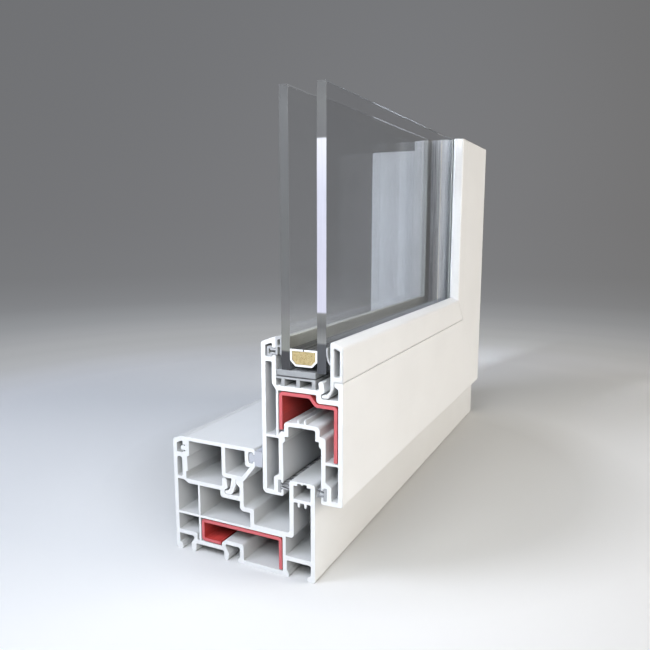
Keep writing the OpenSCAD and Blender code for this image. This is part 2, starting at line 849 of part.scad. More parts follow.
// Rolled steel in the sash, stepped down beside the bead groove
module sash_steel_section() {
    left = channel_l - wall + steel_gap;
    right = sash_x1 - wall - steel_gap;
    hi = glaze_s - wall - steel_gap;
    step_hi = bead_floor_s - wall - steel_gap;
    lo_left = step_s + wall + 2 * steel_gap;
    lo_right = room_web_s + steel_gap;
    slant = 0.8;
    bend_x = finger_x - 5.6;
    bend_end = bend_x + slant * (hi - step_hi);
    lean = 0.45 * steel_t;
    shape([
        [left, lo_left], [left, hi, steel_bend], [bend_x, hi, steel_bend],
        [bend_end, step_hi, r_bend], [right, step_hi, steel_bend], [right, lo_right],
        [right - steel_t, lo_right], [right - steel_t, step_hi - steel_t, r_nib],
        [bend_end - lean, step_hi - steel_t, r_bow], [bend_x - lean, hi - steel_t, r_turn],
        [left + steel_t, hi - steel_t, r_nib], [left + steel_t, lo_left]
    ]);
}

module sash_steel_rail() {
    color(steel_red)
        square_run(0, sill_len - sash_top)
            sash_steel_section();
}

module sash_steel_stile() {
    color(steel_red)
        up_jamb()
            square_run(sill_len - jamb_len, sill_len - sash_top)
                sash_steel_section();
}

// Glazing bead that snaps into the sash on the room side
module bead_section() {
    foot_lo = bead_floor_s + snap_gap;
    foot_hi = bead_floor_s + hook_h;
    hook_x = finger_x + finger_t + hook_gap;
    heel_x = bead_x - 1.4;
    heel_s = room_lip_s - 3;
    knee_x = bead_x - bead_wall;
    knee_s = room_lip_s - 5.4;
    top = sash_top + bead_joint;
    hollow_lo = bead_s + wall;
    hollow_r = sash_x1 - 2.2;
    roof = 3.2;
    slope = bead_drop / (sash_x1 - bead_x);
    difference() {
        shape([
            [hook_x, foot_lo, r_edge], [heel_x, foot_lo, r_sweep], [bead_in, heel_s, r_bend],
            [bead_in, bead_s, r_fine], [sash_x1, bead_s, r_nib],
            [sash_x1, top - bead_drop, r_bend], [bead_x, top, r_turn],
            [bead_x, knee_s, r_bend], [knee_x, foot_hi + r_nib, r_bend],
            [hook_x, foot_hi, r_edge]
        ]);
        shape([
            [bead_in, hollow_lo, r_nib], [hollow_r, hollow_lo, r_nib],
            [hollow_r, top - roof - slope * (hollow_r - bead_x), r_nib],
            [bead_in, top - roof - slope * bead_wall, r_nib]
        ]);
    }
}

module bead_rail() {
    color(white)
        sill_member()
            bead_section();
}

module bead_stile() {
    color(white)
        jamb_member()
            bead_section();
}

// Soft lip on the bead, bowed against the glass
module bead_gasket_section() {
    tip_s = sash_top - 4.2;
    root_s = tip_s - bead_lip_h;
    touch_s = tip_s - 0.36 * bead_lip_h;
    bow_s = root_s + 0.25 * bead_lip_h;
    root_t = 2.4 * bead_lip_t;
    bow_x = glass_x1 + bead_lip_t;
    shape([
        [bead_x, root_s, r_fine], [bead_x, root_s + root_t, r_fine],
        [bow_x + r_fine, bow_s + 3 * bead_lip_t, r_bend],
        [bow_x, tip_s, r_fine], [glass_x1, tip_s, r_fine],
        [glass_x1, touch_s, r_turn], [bow_x, bow_s, r_bend]
    ]);
}

module bead_gasket_rail() {
    color(seal_grey)
        sill_member()
            bead_gasket_section();
}

module bead_gasket_stile() {
    color(seal_grey)
        jamb_member()
            bead_gasket_section();
}

// A pane up to its hidden edge on the glazing floor and beside the stile
module pane(x) {
    translate([x, 0, glass_s])
        cube([pane_t, sill_len - glass_s, jamb_len - glass_s]);
}

module glass_outer() {
    color(clear_glass)
        pane(glass_x);
}

module glass_inner() {
    color(clear_glass)
        pane(inner_x);
}

// Spacer bar with cut lower corners, drawn in from its outside by an inset
module spacer_outline(inset) {
    cut = spacer_cut - inset * (2 - sqrt(2));
    left = cavity_x + inset;
    right = inner_x - inset;
    lo = spacer_s + inset;
    hi = spacer_s + spacer_h - inset;
    polygon([
        [left + cut, lo], [right - cut, lo], [right, lo + cut],
        [right, hi], [left, hi], [left, lo + cut]
    ]);
}

module spacer_section() {
    mid = cavity_x + cavity / 2;
    slit = 0.9;
    difference() {
        spacer_outline(0);
        spacer_outline(spacer_wall);
        block([mid - slit / 2, spacer_s + spacer_h / 2], [mid + slit / 2, spacer_s + spacer_h + 1]);
    }
}

module spacer_rail() {
    color(spacer_alu)
        sill_member()
            spacer_section();
}

module spacer_stile() {
    color(spacer_alu)
        jamb_member()
            spacer_section();
}

module desiccant_rail() {
    color(desiccant_tan)
        sill_member()
            spacer_outline(spacer_wall);
}

module desiccant_stile() {
    color(desiccant_tan)
        jamb_member()
            spacer_outline(spacer_wall);
}

// Glazing gasket: hollow head in the flange's slot, hollow bulb and thin lip against the outer pane
module glazing_gasket_section() {
    lo = gasket_lo + snap_gap;
    hi = gasket_hi - snap_gap;
    neck_x = gasket_x - snap_gap;
    head_x = sash_x0 + wall + 1.5;
    head_lo = gasket_floor + snap_gap;
    head_hi = hi + 1.4;
    back_x = sash_flange_x + 1.4 * gasket_t;
    lip_x = glass_x - gasket_t;
    bulb_lo = hi + 2.2;
    bulb_hi = sash_top - gasket_t;
    core_lo = (lo + hi) / 2 - 0.75;
    core_hi = core_lo + 1.5;
    bar_x = head_x + 1.2 * gasket_t;
    difference() {
        shape([
            [head_x, head_lo, r_turn], [neck_x, head_lo, r_fine], [neck_x, lo, r_fine],
            [back_x, lo, r_nib], [back_x, bulb_lo - gasket_t, r_nib],
            [lip_x, bulb_lo - gasket_t, r_nib], [lip_x, lo, r_fine], [glass_x, lo, r_fine],
            [glass_x, sash_top + gasket_t, r_edge], [sash_flange_x, sash_top + gasket_t / 2, r_edge],
            [sash_flange_x, hi, r_fine], [neck_x, hi, r_fine], [neck_x, head_hi, r_nib],
            [head_x, head_hi, r_turn]
        ]);
        // Hollow core of the head and neck
        shape([
            [bar_x, core_lo, r_fine], [sash_flange_x, core_lo, r_fine],
            [sash_flange_x, core_hi, r_fine], [bar_x, core_hi, r_fine]
        ]);
        shape([
            [bar_x, core_lo - gasket_t, r_fine], [neck_x - gasket_t, core_lo - gasket_t, r_fine],
            [neck_x - gasket_t, core_hi + gasket_t, r_fine], [bar_x, core_hi + gasket_t, r_fine]
        ]);
        // Hollow of the bulb
        shape([
            [back_x, bulb_lo, r_nib], [lip_x, bulb_lo, r_nib],
            [lip_x, bulb_hi, r_nib], [back_x, bulb_hi - gasket_t / 2, r_nib]
        ]);
    }
}

module glazing_gasket_rail() {
    color(seal_grey)
        sill_member()
            glazing_gasket_section();
}

module glazing_gasket_stile() {
    color(seal_grey)
        jamb_member()
            glazing_gasket_section();
}

// One side of the setting block, bevelled below at both ends
module block_side(from, to) {
    lo = glaze_s + bridge_h;
    polygon([
        [from + block_bevel, lo], [to - block_bevel, lo], [to, lo + block_bevel],
        [to, glass_s], [from, glass_s], [from, lo + block_bevel]
    ]);
}

// Plate that carries the glass, bevelled all round below
module setting_block() {
    color(block_grey)
        intersection() {
            square_run(0, block_len)
                block_side(block_x0, block_x1);
            rotate([90, 0, 90])
                linear_extrude(block_x1 + wall)
                    block_side(0, block_len);
        }
}

// Legged bridge that keeps the glazing floor drained
module glazing_bridge() {
    first = block_x0 + 3.7;
    last = block_x1 - bridge_leg;
    color(bridge_grey)
        square_run(0, block_len) {
            block([block_x0, glaze_s + bridge_h - bridge_plate], [block_x1, glaze_s + bridge_h]);
            for (x = [first, (first + last) / 2, last])
                block([x, glaze_s], [x + bridge_leg, glaze_s + bridge_h]);
        }
}

// Brush seal: woven back in the sash's slot, pile reaching to the rail
module brush_section(face, way, rail_face) {
    back = face - way * (brush_depth - snap_gap / 2);
    front = back + way * brush_back_t;
    tip = rail_face - way * seal_gap;
    ease = [0, snap_gap / 2];
    block([min(back, front), brush_slot_lo] + ease, [max(back, front), brush_slot_hi] - ease);
    block([min(back, tip), brush_lo] + ease, [max(back, tip), brush_hi] - ease);
}

module brush_outer_section() {
    brush_section(channel_l, 1, rail_x);
}

module brush_inner_section() {
    brush_section(channel_r, -1, frame_depth);
}

module brush_outer_rail() {
    color(seal_grey)
        sill_member()
            brush_outer_section();
}

module brush_inner_rail() {
    color(seal_grey)
        sill_member()
            brush_inner_section();
}

module brush_outer_stile() {
    color(seal_grey)
        jamb_member()
            brush_outer_section();
}

module brush_inner_stile() {
    color(seal_grey)
        jamb_member()
            brush_inner_section();
}

// The origin lies under the middle of the whole section
module place() {
    translate([-sash_x1 / 2, -sill_len / 2, 0])
        children();
}

place() frame_sill();
place() frame_jamb();
place() frame_steel_sill();
place() frame_steel_jamb();
place() cover_sill();
place() cover_jamb();
place() cover_seal_sill();
place() cover_seal_jamb();
place() sash_rail();
place() sash_stile();
place() sash_steel_rail();
place() sash_steel_stile();
place() bead_rail();
place() bead_stile();
place() bead_gasket_rail();
place() bead_gasket_stile();
place() glass_outer();
place() glass_inner();
place() spacer_rail();
place() spacer_stile();
place() desiccant_rail();
place() desiccant_stile();
place() glazing_gasket_rail();
place() glazing_gasket_stile();
place() setting_block();
place() glazing_bridge();
place() brush_outer_rail();
place() brush_inner_rail();
place() brush_outer_stile();
place() brush_inner_stile();
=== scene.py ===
"""Looks for the cut-away corner of a white plastic sliding window.

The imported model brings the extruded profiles, steels, seals and glazing. This script dresses them,
puts finer pieces in the place of the pile seals, the drying beads and the panes, and sets a plain
studio round them.
"""

import logging
import math
from collections.abc import Mapping, Sequence
from dataclasses import dataclass
from enum import Enum

import bmesh
import bpy
from mathutils import Matrix, Vector

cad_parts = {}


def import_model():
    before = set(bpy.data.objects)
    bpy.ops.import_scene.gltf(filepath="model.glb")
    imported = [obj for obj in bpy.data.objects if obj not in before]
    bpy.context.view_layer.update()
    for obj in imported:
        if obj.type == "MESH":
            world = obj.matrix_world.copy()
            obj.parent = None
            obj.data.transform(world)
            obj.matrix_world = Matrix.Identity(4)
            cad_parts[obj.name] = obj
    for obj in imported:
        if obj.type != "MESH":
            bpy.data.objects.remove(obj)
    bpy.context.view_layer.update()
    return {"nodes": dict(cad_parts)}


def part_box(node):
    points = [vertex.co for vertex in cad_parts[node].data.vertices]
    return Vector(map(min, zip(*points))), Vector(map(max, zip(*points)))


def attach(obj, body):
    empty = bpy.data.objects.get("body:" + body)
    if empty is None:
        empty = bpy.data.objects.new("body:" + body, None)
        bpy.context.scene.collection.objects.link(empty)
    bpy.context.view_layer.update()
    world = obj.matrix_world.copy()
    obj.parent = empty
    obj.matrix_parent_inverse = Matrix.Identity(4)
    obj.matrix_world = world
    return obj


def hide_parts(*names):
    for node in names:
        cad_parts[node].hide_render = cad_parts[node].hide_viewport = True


LOG = logging.getLogger("window_corner")
MM = 0.001
BANDS_PER_TURN = 20
EDGE_SAMPLES = 6
FRAME_ENDS = ("sill", "jamb")
SASH_ENDS = ("rail", "stile")

Colour = tuple[float, float, float]
Place = tuple[float, float, float]
Size = tuple[float, float, float]
Band = tuple[float, float]
Shades = tuple[tuple[float, Colour], ...]
Outline = Sequence[tuple[float, float]]
BMesh = bmesh.types.BMesh
Material = bpy.types.Material
Mesh = bpy.types.Mesh
Packed = dict[str, bpy.types.Object]
Socket = bpy.types.NodeSocket
Feed = float | Sequence[float] | Socket

# A noise's mean, the range that holds most of its values, and the middle of that range.
NOISE_MEAN = 0.5
NOISE_MOST: Band = (0.2, 0.8)
NOISE_MIDDLE: Band = (0.3, 0.7)


class Body(Enum):
    """The two rigid bodies of the window."""

    FRAME = "frame"
    SASH = "sash"


class Run(Enum):
    """The way that a length of profile runs."""

    BOTTOM = "along the sill"
    SIDE = "up the jamb"


class Side(Enum):
    """The side of the rail that a pile seal wipes, as the way its pile points along X."""

    OUTER = 1
    INNER = -1


class Draw(Enum):
    """A tree's random draws, as numbers added to its seed."""

    SIZE = 1
    LEAN = 2
    SWAY = 3
    SHADE = 4


@dataclass(frozen=True)
class Length:
    """A length of profile: the way that it runs and the planes that end it, in metres."""

    run: Run
    sill_end: float
    corner: float
    jamb_end: float

    @classmethod
    def of_frame(cls, run: Run) -> "Length":
        """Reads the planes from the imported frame."""
        sill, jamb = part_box("frame_sill"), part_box("frame_jamb")
        return cls(run, sill_end=sill[0].y, corner=sill[1].y, jamb_end=jamb[1].z)

    @property
    def open_end(self) -> float:
        """The Y of the square end, with a side length laid down along the sill."""
        return self.sill_end if self.run is Run.BOTTOM else self.corner - self.jamb_end

    def span(self, lo: Vector, hi: Vector) -> tuple[float, float]:
        """Gives where the length's box starts and ends, as distances in from the outer edge."""
        side = (self.corner - hi.y, self.corner - lo.y)
        return (lo.z, hi.z) if self.run is Run.BOTTOM else side

    def stretched(self, across: float, along: float) -> Size:
        """Gives a pattern's size along X, Y and Z, drawn out along the length."""
        return (across, along, across) if self.run is Run.BOTTOM else (across, across, along)

    def stand_up(self, bm: BMesh) -> None:
        """Turns a side length that was made lying along the sill up to its place on the jamb.

        Args:
            bm: The length's mesh, which is changed if it is a side one.
        """
        if self.run is Run.BOTTOM:
            return
        c = self.corner
        turn = Matrix(((1, 0, 0, 0), (0, 0, -1, c), (0, -1, 0, c), (0, 0, 0, 1)))
        bmesh.ops.transform(bm, matrix=turn, verts=bm.verts)
        bmesh.ops.reverse_faces(bm, faces=bm.faces)


Lengths = tuple[Length, ...]


class NodeTree:
    """A node tree, with short calls that add nodes and feed them."""

    def __init__(self, tree: bpy.types.NodeTree) -> None:
        """Takes the tree that is filled."""
        self.nodes = tree.nodes
        self.links = tree.links

    def add(
        self, kind: str, inputs: Mapping[str | int, Feed] | None = None, **settings: object
    ) -> bpy.types.Node:
        """Adds a node.

        Args:
            kind: The node's type name.
            inputs: What goes into its inputs, by their names or numbers.
            **settings: Values for its own properties.

        Returns:
            The new node.
        """
        node = self.nodes.new(kind)
        for name, value in settings.items():
            setattr(node, name, value)
        for key, value in (inputs or {}).items():
            self.feed(node.inputs[key], value)
        return node

    def feed(self, socket: Socket, value: Feed) -> None:
        """Sets an input, or links it if the value is another node's output.

        Args:
            socket: The input.
            value: A number, a colour, a vector or an output.
        """
        if isinstance(value, Socket):
            self.links.new(value, socket)
        elif isinstance(value, (int, float)):
            socket.default_value = value
        else:
            values = tuple(value)
            whole = len(values) == len(socket.default_value)
            socket.default_value = values if whole else (*values, 1.0)

    def maths(self, operation: str, *values: Feed, clamp: bool = False) -> Socket:
        """Adds a sum of one, two or three values, kept from 0 to 1 if clamped."""
        inputs = dict(enumerate(values))
        return self.add("ShaderNodeMath", inputs, operation=operation, use_clamp=clamp).outputs[0]

    def times(self, first: Feed, second: Feed) -> Socket:
        """Multiplies two values."""
        return self.maths("MULTIPLY", first, second)


class Graph(NodeTree):
    """A material's node tree, with short calls for the nodes that the finishes share."""

    def __init__(self, name: str) -> None:
        """Starts a material with one shader.

        Args:
            name: The material's name.
        """
        self.material = bpy.data.materials.new(name)
        self.material.use_nodes = True
        super().__init__(self.material.node_tree)
        self.nodes.clear()
        self.output = self.add("ShaderNodeOutputMaterial")
        self.shader = self.add("ShaderNodeBsdfPrincipled")
        self.show(self.shader.outputs["BSDF"])
        self.place = self.add("ShaderNodeTexCoord").outputs["Object"]

    def show(self, shader: Socket) -> None:
        """Puts a shader on the surface."""
        self.feed(self.output.inputs["Surface"], shader)

    def show_either(self, factor: Feed, other: Socket) -> None:
        """Puts the main shader and a share of another on the surface."""
        parts = {0: factor, 1: self.shader.outputs["BSDF"], 2: other}
        self.show(self.add("ShaderNodeMixShader", parts).outputs["Shader"])

    def put(self, inputs: Mapping[str, Feed]) -> None:
        """Feeds the main shader's inputs by name."""
        for name, value in inputs.items():
            self.feed(self.shader.inputs[name], value)

    def spread(
        self, value: Feed, lo: float, hi: float,
        to_lo: float = 0.0, to_hi: float = 1.0, how: str = "SMOOTHSTEP",
    ) -> Socket:
        """Maps a value from one range to another.

        Args:
            value: What is mapped.
            lo: The value that gives to_lo.
            hi: The value that gives to_hi.
            to_lo: The result at lo.
            to_hi: The result at hi.
            how: The way from one to the other.

        Returns:
            The mapped value.
        """
        node = self.add(
            "ShaderNodeMapRange",
            {"Value": value, "From Min": lo, "From Max": hi, "To Min": to_lo, "To Max": to_hi},
            interpolation_type=how,
        )
        return node.outputs["Result"]

    def off(self, value: Feed, middle: float) -> Socket:
        """Gives how far a value is from a middle, on either side."""
        return self.maths("ABSOLUTE", self.maths("SUBTRACT", value, middle))

    def apart(self, first: Feed, second: Feed) -> Socket:
        """Gives the length of the slant over two sides at right angles."""
        squares = self.maths("ADD", self.times(first, first), self.times(second, second))
        return self.maths("SQRT", squares)

    def axes(self) -> tuple[Socket, Socket, Socket]:
        """Gives X, Y and Z of the place on the object."""
        out = self.add("ShaderNodeSeparateXYZ", {0: self.place}).outputs
        return out[0], out[1], out[2]

    def scaled(self, size: float | Sequence[float]) -> Socket:
        """Gives the place on the object in lengths of a pattern.

        Args:
            size: The pattern's length, or its lengths along X, Y and Z, in metres.

        Returns:
            The scaled place.
        """
        sizes = (size,) * 3 if isinstance(size, float) else size
        inputs = {"Vector": self.place, "Scale": [1 / part for part in sizes]}
        return self.add("ShaderNodeMapping", inputs).outputs["Vector"]

    def noise(
        self, size: float | Sequence[float], detail: float = 2.0, roughness: float = 0.5
    ) -> Socket:
        """Adds a cloudy pattern from 0 to 1.

        Args:
            size: The clouds' length, or their lengths along X, Y and Z, in metres.
            detail: How many finer layers it has.
            roughness: How strong the finer layers are.

        Returns:
            The pattern.
        """
        node = self.add(
            "ShaderNodeTexNoise",
            {"Vector": self.scaled(size), "Scale": 1.0, "Detail": detail, "Roughness": roughness},
            noise_dimensions="3D",
        )
        return node.outputs["Fac"]

    def bands(self, size: float, direction: str, distortion: float = 0.0) -> Socket:
        """Adds a pattern of even bands from 0 to 1.

        Args:
            size: One band's width in metres.
            direction: The axis across the bands.
            distortion: How far the bands wander.

        Returns:
            The pattern.
        """
        place = self.scaled(size * BANDS_PER_TURN / math.tau)
        node = self.add(
            "ShaderNodeTexWave",
            {"Vector": place, "Scale": 1.0, "Distortion": distortion, "Detail": 1.0},
            wave_type="BANDS",
            bands_direction=direction,
        )
        return node.outputs["Fac"]

    def blend(self, factor: Feed, low: Feed, high: Feed, how: str = "MIX") -> Socket:
        """Mixes two colours by the share of the second."""
        inputs = {0: factor, 6: low, 7: high}
        return self.add("ShaderNodeMix", inputs, data_type="RGBA", blend_type=how).outputs[2]

    def level(self, factor: Feed, low: Feed, high: Feed) -> Socket:
        """Mixes two numbers by the share of the second."""
        return self.add("ShaderNodeMix", {0: factor, 2: low, 3: high}, data_type="FLOAT").outputs[0]

    def dimmed(self, colour: Socket, scale: Feed) -> Socket:
        """Gives a colour times a number."""
        inputs = {0: colour, "Scale": scale}
        return self.add("ShaderNodeVectorMath", inputs, operation="SCALE").outputs[0]

    def ramp(self, value: Feed, shades: Shades) -> Socket:
        """Runs through colours as a value grows.

        Args:
            value: What the colours follow.
            shades: Each colour with the value where it is reached, lowest first.

        Returns:
            The colour.
        """
        first, last = shades[0][0], shades[-1][0]
        share = self.spread(value, first, last, how="LINEAR")
        node = self.add("ShaderNodeValToRGB", {"Fac": share})
        points = node.color_ramp.elements
        while len(points) < len(shades):
            points.new(0.5)
        for point, (at, colour) in zip(points, shades):
            point.position = (at - first) / (last - first)
            point.color = (*colour, 1.0)
        return node.outputs["Color"]

    def relief(
        self, height: Feed, depth: float, edge: float = 0.0, strength: float = 0.5
    ) -> None:
        """Gives the shader a relief, over edges softened by a small radius.

        Args:
            height: The relief, from 0 to 1.
            depth: Its depth in metres.
            edge: The radius that edges are softened by, in metres.
            strength: How much of it shows.
        """
        inputs = {"Strength": strength, "Distance": depth, "Height": height}
        if edge > 0:
            soft = self.add("ShaderNodeBevel", {"Radius": edge}, samples=EDGE_SAMPLES)
            inputs["Normal"] = soft.outputs["Normal"]
        self.put({"Normal": self.add("ShaderNodeBump", inputs).outputs["Normal"]})

    def cut_mask(self, length: Length, full: float = 0.05 * MM, none: float = 0.2 * MM) -> Socket:
        """Gives 1 on the sawn end of a length of profile and 0 elsewhere.

        Args:
            length: The length.
            full: How far behind the cut the mask is still 1.
            none: How far behind the cut it has reached 0.

        Returns:
            The mask.
        """
        _, y, z = self.axes()
        if length.run is Run.BOTTOM:
            return self.spread(y, length.sill_end + full, length.sill_end + none, 1.0, 0.0)
        return self.spread(z, length.jamb_end - none, length.jamb_end - full)


@dataclass(frozen=True)
class WhitePlastic:
    """Smooth white extruded plastic, with fine die lines, a sawn end and a welded corner."""

    length: Length
    part: str
    skin: Colour = (0.87, 0.87, 0.865)
    edge: float = 0.3 * MM
    dim: float = 0.03
    sawn: Colour = (0.85, 0.85, 0.845)
    seam: Colour = (0.66, 0.65, 0.62)
    seam_share: float = 0.35
    seam_sink: float = 3.0
    rough: Band = (0.37, 0.49)
    sawn_rough: float = 0.6
    cloud: float = 0.05
    die_line: Band = (0.7 * MM, 0.22)
    line_range: Band = (0.25, 0.75)
    line_share: float = 0.6
    peel: float = 0.35 * MM
    peel_share: float = 0.4
    saw_mark: float = 1.3 * MM
    saw_wander: float = 1.6
    saw_share: float = 0.05
    weld: Band = (0.1 * MM, 0.45 * MM)
    depth: float = 0.012 * MM
    refraction: float = 1.53

    def material(self) -> Material:
        """Builds the material.

        Returns:
            The finish.
        """
        g = Graph(f"white plastic of the {self.part} {self.length.run.value}")
        skin_dim = [part * (1 - self.dim) for part in self.skin]
        _, y, z = g.axes()
        cut = g.cut_mask(self.length)
        clouds = g.noise(self.cloud, detail=3.0)
        lines = g.noise(self.length.stretched(*self.die_line))
        peel = g.noise(self.peel, detail=1.0)
        marks = g.bands(self.saw_mark, "DIAGONAL", self.saw_wander)
        weld = g.spread(g.off(g.maths("ADD", y, z), self.length.corner), *self.weld, 1.0, 0.0)
        skin = g.blend(g.spread(clouds, *NOISE_MIDDLE), self.skin, skin_dim)
        skin = g.blend(g.times(weld, self.seam_share), skin, self.seam)
        sawn = g.blend(g.times(marks, self.saw_share), self.sawn, skin_dim)
        drawn = g.spread(lines, *self.line_range, *self.rough)
        smooth = g.maths("ADD", g.times(lines, self.line_share), g.times(peel, self.peel_share))
        smooth = g.maths("SUBTRACT", smooth, g.times(weld, self.seam_sink))
        g.relief(g.level(cut, smooth, marks), self.depth, self.edge)
        g.put({
            "Base Color": g.blend(cut, skin, sawn),
            "Roughness": g.level(cut, drawn, self.sawn_rough),
            "IOR": self.refraction,
        })
        return g.material


@dataclass(frozen=True)
class RedPrimer:
    """Red primed rolled steel, with roller streaks and a paler sawn end."""

    length: Length
    coat: Colour = (0.66, 0.068, 0.058)
    coat_thin: Colour = (0.56, 0.056, 0.05)
    sawn: Colour = (0.64, 0.14, 0.155)
    rough: Band = (0.36, 0.56)
    streak: Band = (1.5 * MM, 0.06)
    streak_range: Band = (0.35, 0.7)
    speck: float = 0.4 * MM
    speck_range: Band = (0.66, 0.75)
    speck_share: float = 0.5
    saw_mark: float = 0.9 * MM
    saw_wander: float = 2.0
    saw_share: float = 0.25
    depth: float = 0.02 * MM
    edge: float = 0.2 * MM

    def material(self) -> Material:
        """Builds the material.

        Returns:
            The finish.
        """
        g = Graph(f"red primer {self.length.run.value}")
        cut = g.cut_mask(self.length)
        streaks = g.noise(self.length.stretched(*self.streak), detail=3.0)
        specks = g.noise(self.speck, roughness=0.7)
        marks = g.bands(self.saw_mark, "DIAGONAL", self.saw_wander)
        coat = g.blend(g.spread(streaks, *self.streak_range), self.coat, self.coat_thin)
        coat = g.blend(g.spread(specks, *self.speck_range, 0.0, self.speck_share), coat, self.sawn)
        sawn = g.blend(g.times(marks, self.saw_share), self.sawn, self.coat)
        g.relief(g.level(cut, specks, marks), self.depth, self.edge)
        g.put({
            "Base Color": g.blend(cut, coat, sawn),
            "Roughness": g.spread(specks, *NOISE_MOST, *self.rough),
        })
        return g.material


@dataclass(frozen=True)
class SealRubber:
    """Matte grey sealing rubber, with flow lines and a dusty bloom."""

    name: str
    length: Length
    face: Colour
    bloom: Colour
    sawn: Colour
    rough: Band = (0.54, 0.72)
    dust: float = 6 * MM
    dust_range: Band = (0.45, 0.75)
    dust_share: float = 0.6
    line: Band = (0.5 * MM, 0.08)
    grain: float = 0.15 * MM
    depth: float = 0.03 * MM
    edge: float = 0.15 * MM
    sheen: float = 0.15

    def material(self) -> Material:
        """Builds the material.

        Returns:
            The finish.
        """
        g = Graph(f"{self.name} {self.length.run.value}")
        cut = g.cut_mask(self.length)
        dust = g.noise(self.dust, detail=4.0, roughness=0.6)
        lines = g.noise(self.length.stretched(*self.line))
        grain = g.noise(self.grain, detail=1.0)
        dusty = g.spread(dust, *self.dust_range, 0.0, self.dust_share)
        face = g.blend(dusty, self.face, self.bloom)
        g.relief(g.level(cut, lines, grain), self.depth, self.edge)
        g.put({
            "Base Color": g.blend(cut, face, self.sawn),
            "Roughness": g.spread(lines, *NOISE_MIDDLE, *self.rough),
            "Sheen Weight": self.sheen,
        })
        return g.material


@dataclass(frozen=True)
class MouldedGrey:
    """Moulded grey plastic with a fine spark-eroded grain, flow marks and painted shade along its
    joint.
    """

    name: str
    face: Colour
    flow: Colour
    joint: float
    # Painted shade along the joint with the part below: its colour, width and strength.
    painted_joint_shade: Colour = (0.06, 0.06, 0.065)
    painted_shade_band: Band = (0.2 * MM, 0.5 * MM)
    painted_shade_share: float = 0.85
    rough: Band = (0.42, 0.62)
    grain: float = 0.3 * MM
    flow_mark: Size = (8 * MM, 22 * MM, 4 * MM)
    flow_range: Band = (0.35, 0.7)
    depth: float = 0.05 * MM
    edge: float = 0.2 * MM

    def material(self) -> Material:
        """Builds the material.

        Returns:
            The finish.
        """
        g = Graph(self.name)
        grain = g.noise(self.grain)
        flow = g.noise(self.flow_mark, detail=3.0, roughness=0.6)
        _, _, z = g.axes()
        face = g.blend(g.spread(flow, *self.flow_range), self.face, self.flow)
        # Painted shade: a dark band along the joint, where the block meets the bridge.
        painted_joint_shade = g.spread(g.off(z, self.joint), *self.painted_shade_band, self.painted_shade_share, 0.0)
        g.relief(grain, self.depth, self.edge)
        g.put({
            "Base Color": g.blend(painted_joint_shade, face, self.painted_joint_shade),
            "Roughness": g.spread(grain, *NOISE_MOST, *self.rough),
        })
        return g.material


@dataclass(frozen=True)
class FloatGlass:
    """Clear float glass with a faint grey tint and wiped dust."""

    name: str
    tint: Colour
    film: Colour = (0.8, 0.81, 0.812)
    cast: Colour = (0.945, 0.955, 0.96)
    wipe: Size = (0.02, 0.09, 0.05)
    wipe_range: Band = (0.45, 0.9)
    refraction: float = 1.5

    def material(self) -> Material:
        """Builds the material, which lets the lamps through to what is behind it.

        Returns:
            The finish.
        """
        g = Graph(self.name)
        wipes = g.noise(self.wipe, detail=4.0, roughness=0.65)
        g.put({
            "Base Color": g.blend(g.spread(wipes, *self.wipe_range), self.tint, self.film),
            "Roughness": 0.0,
            "Transmission Weight": 1.0,
            "IOR": self.refraction,
        })
        clear = g.add("ShaderNodeBsdfTransparent", {"Color": self.cast})
        shadow = g.add("ShaderNodeLightPath").outputs["Is Shadow Ray"]
        g.show_either(shadow, clear.outputs["BSDF"])
        return g.material


@dataclass(frozen=True)
class PaintedLightEdge:
    """Ground front edge of a pane, coloured by height in painted light: painted shade low in its
    rebate and painted reflections of the stile and gaskets above.
    """

    name: str
    shades: Shades
    worn: float = 0.1
    grind: Size = (0.3 * MM, 0.3 * MM, 0.03)
    grind_range: Band = (0.4, 0.8)
    rough: Band = (0.35, 0.5)

    def material(self) -> Material:
        """Builds the material.

        Returns:
            The finish.
        """
        g = Graph(self.name)
        _, _, z = g.axes()
        lines = g.noise(self.grind)
        wear = g.spread(lines, *self.grind_range, 1.0, 1.0 - self.worn)
        # The ramp by height is painted shade and painted reflections, dimmed a little by the
        # grinding lines.
        g.put({
            "Base Color": g.dimmed(g.ramp(z, self.shades), wear),
            "Roughness": g.spread(lines, *NOISE_MIDDLE, *self.rough),
        })
        return g.material


@dataclass(frozen=True)
class SpacerMetal:
    """Bare rolled metal of the spacer bar, with drawn streaks, a pale seam and a white sawn end."""

    length: Length
    seam: float
    metal: Colour = (0.34, 0.34, 0.345)
    metal_dull: Colour = (0.15, 0.153, 0.158)
    metal_seam: Colour = (0.5, 0.5, 0.51)
    sawn: Colour = (0.95, 0.95, 0.94)
    rough: Band = (0.22, 0.42)
    sawn_rough: float = 0.6
    brush: Band = (0.25 * MM, 0.05)
    streak: Band = (1.1 * MM, 0.14)
    streak_range: Band = (0.36, 0.62)
    seam_band: Band = (0.1 * MM, 0.3 * MM)
    depth: float = 0.01 * MM
    edge: float = 0.1 * MM

    def material(self) -> Material:
        """Builds the material.

        Returns:
            The finish.
        """
        g = Graph(f"spacer metal {self.length.run.value}")
        cut = g.cut_mask(self.length)
        brushed = g.noise(self.length.stretched(*self.brush), detail=3.0, roughness=0.6)
        streaks = g.noise(self.length.stretched(*self.streak), detail=3.0, roughness=0.6)
        x, _, _ = g.axes()
        metal = g.blend(g.spread(streaks, *self.streak_range), self.metal, self.metal_dull)
        seam = g.spread(g.off(x, self.seam), *self.seam_band, 1.0, 0.0)
        metal = g.blend(seam, metal, self.metal_seam)
        drawn = g.spread(brushed, *NOISE_MOST, *self.rough)
        g.relief(brushed, self.depth, self.edge)
        g.put({
            "Base Color": g.blend(cut, metal, self.sawn),
            "Metallic": g.level(cut, 1.0, 0.0),
            "Roughness": g.level(cut, drawn, self.sawn_rough),
        })
        return g.material


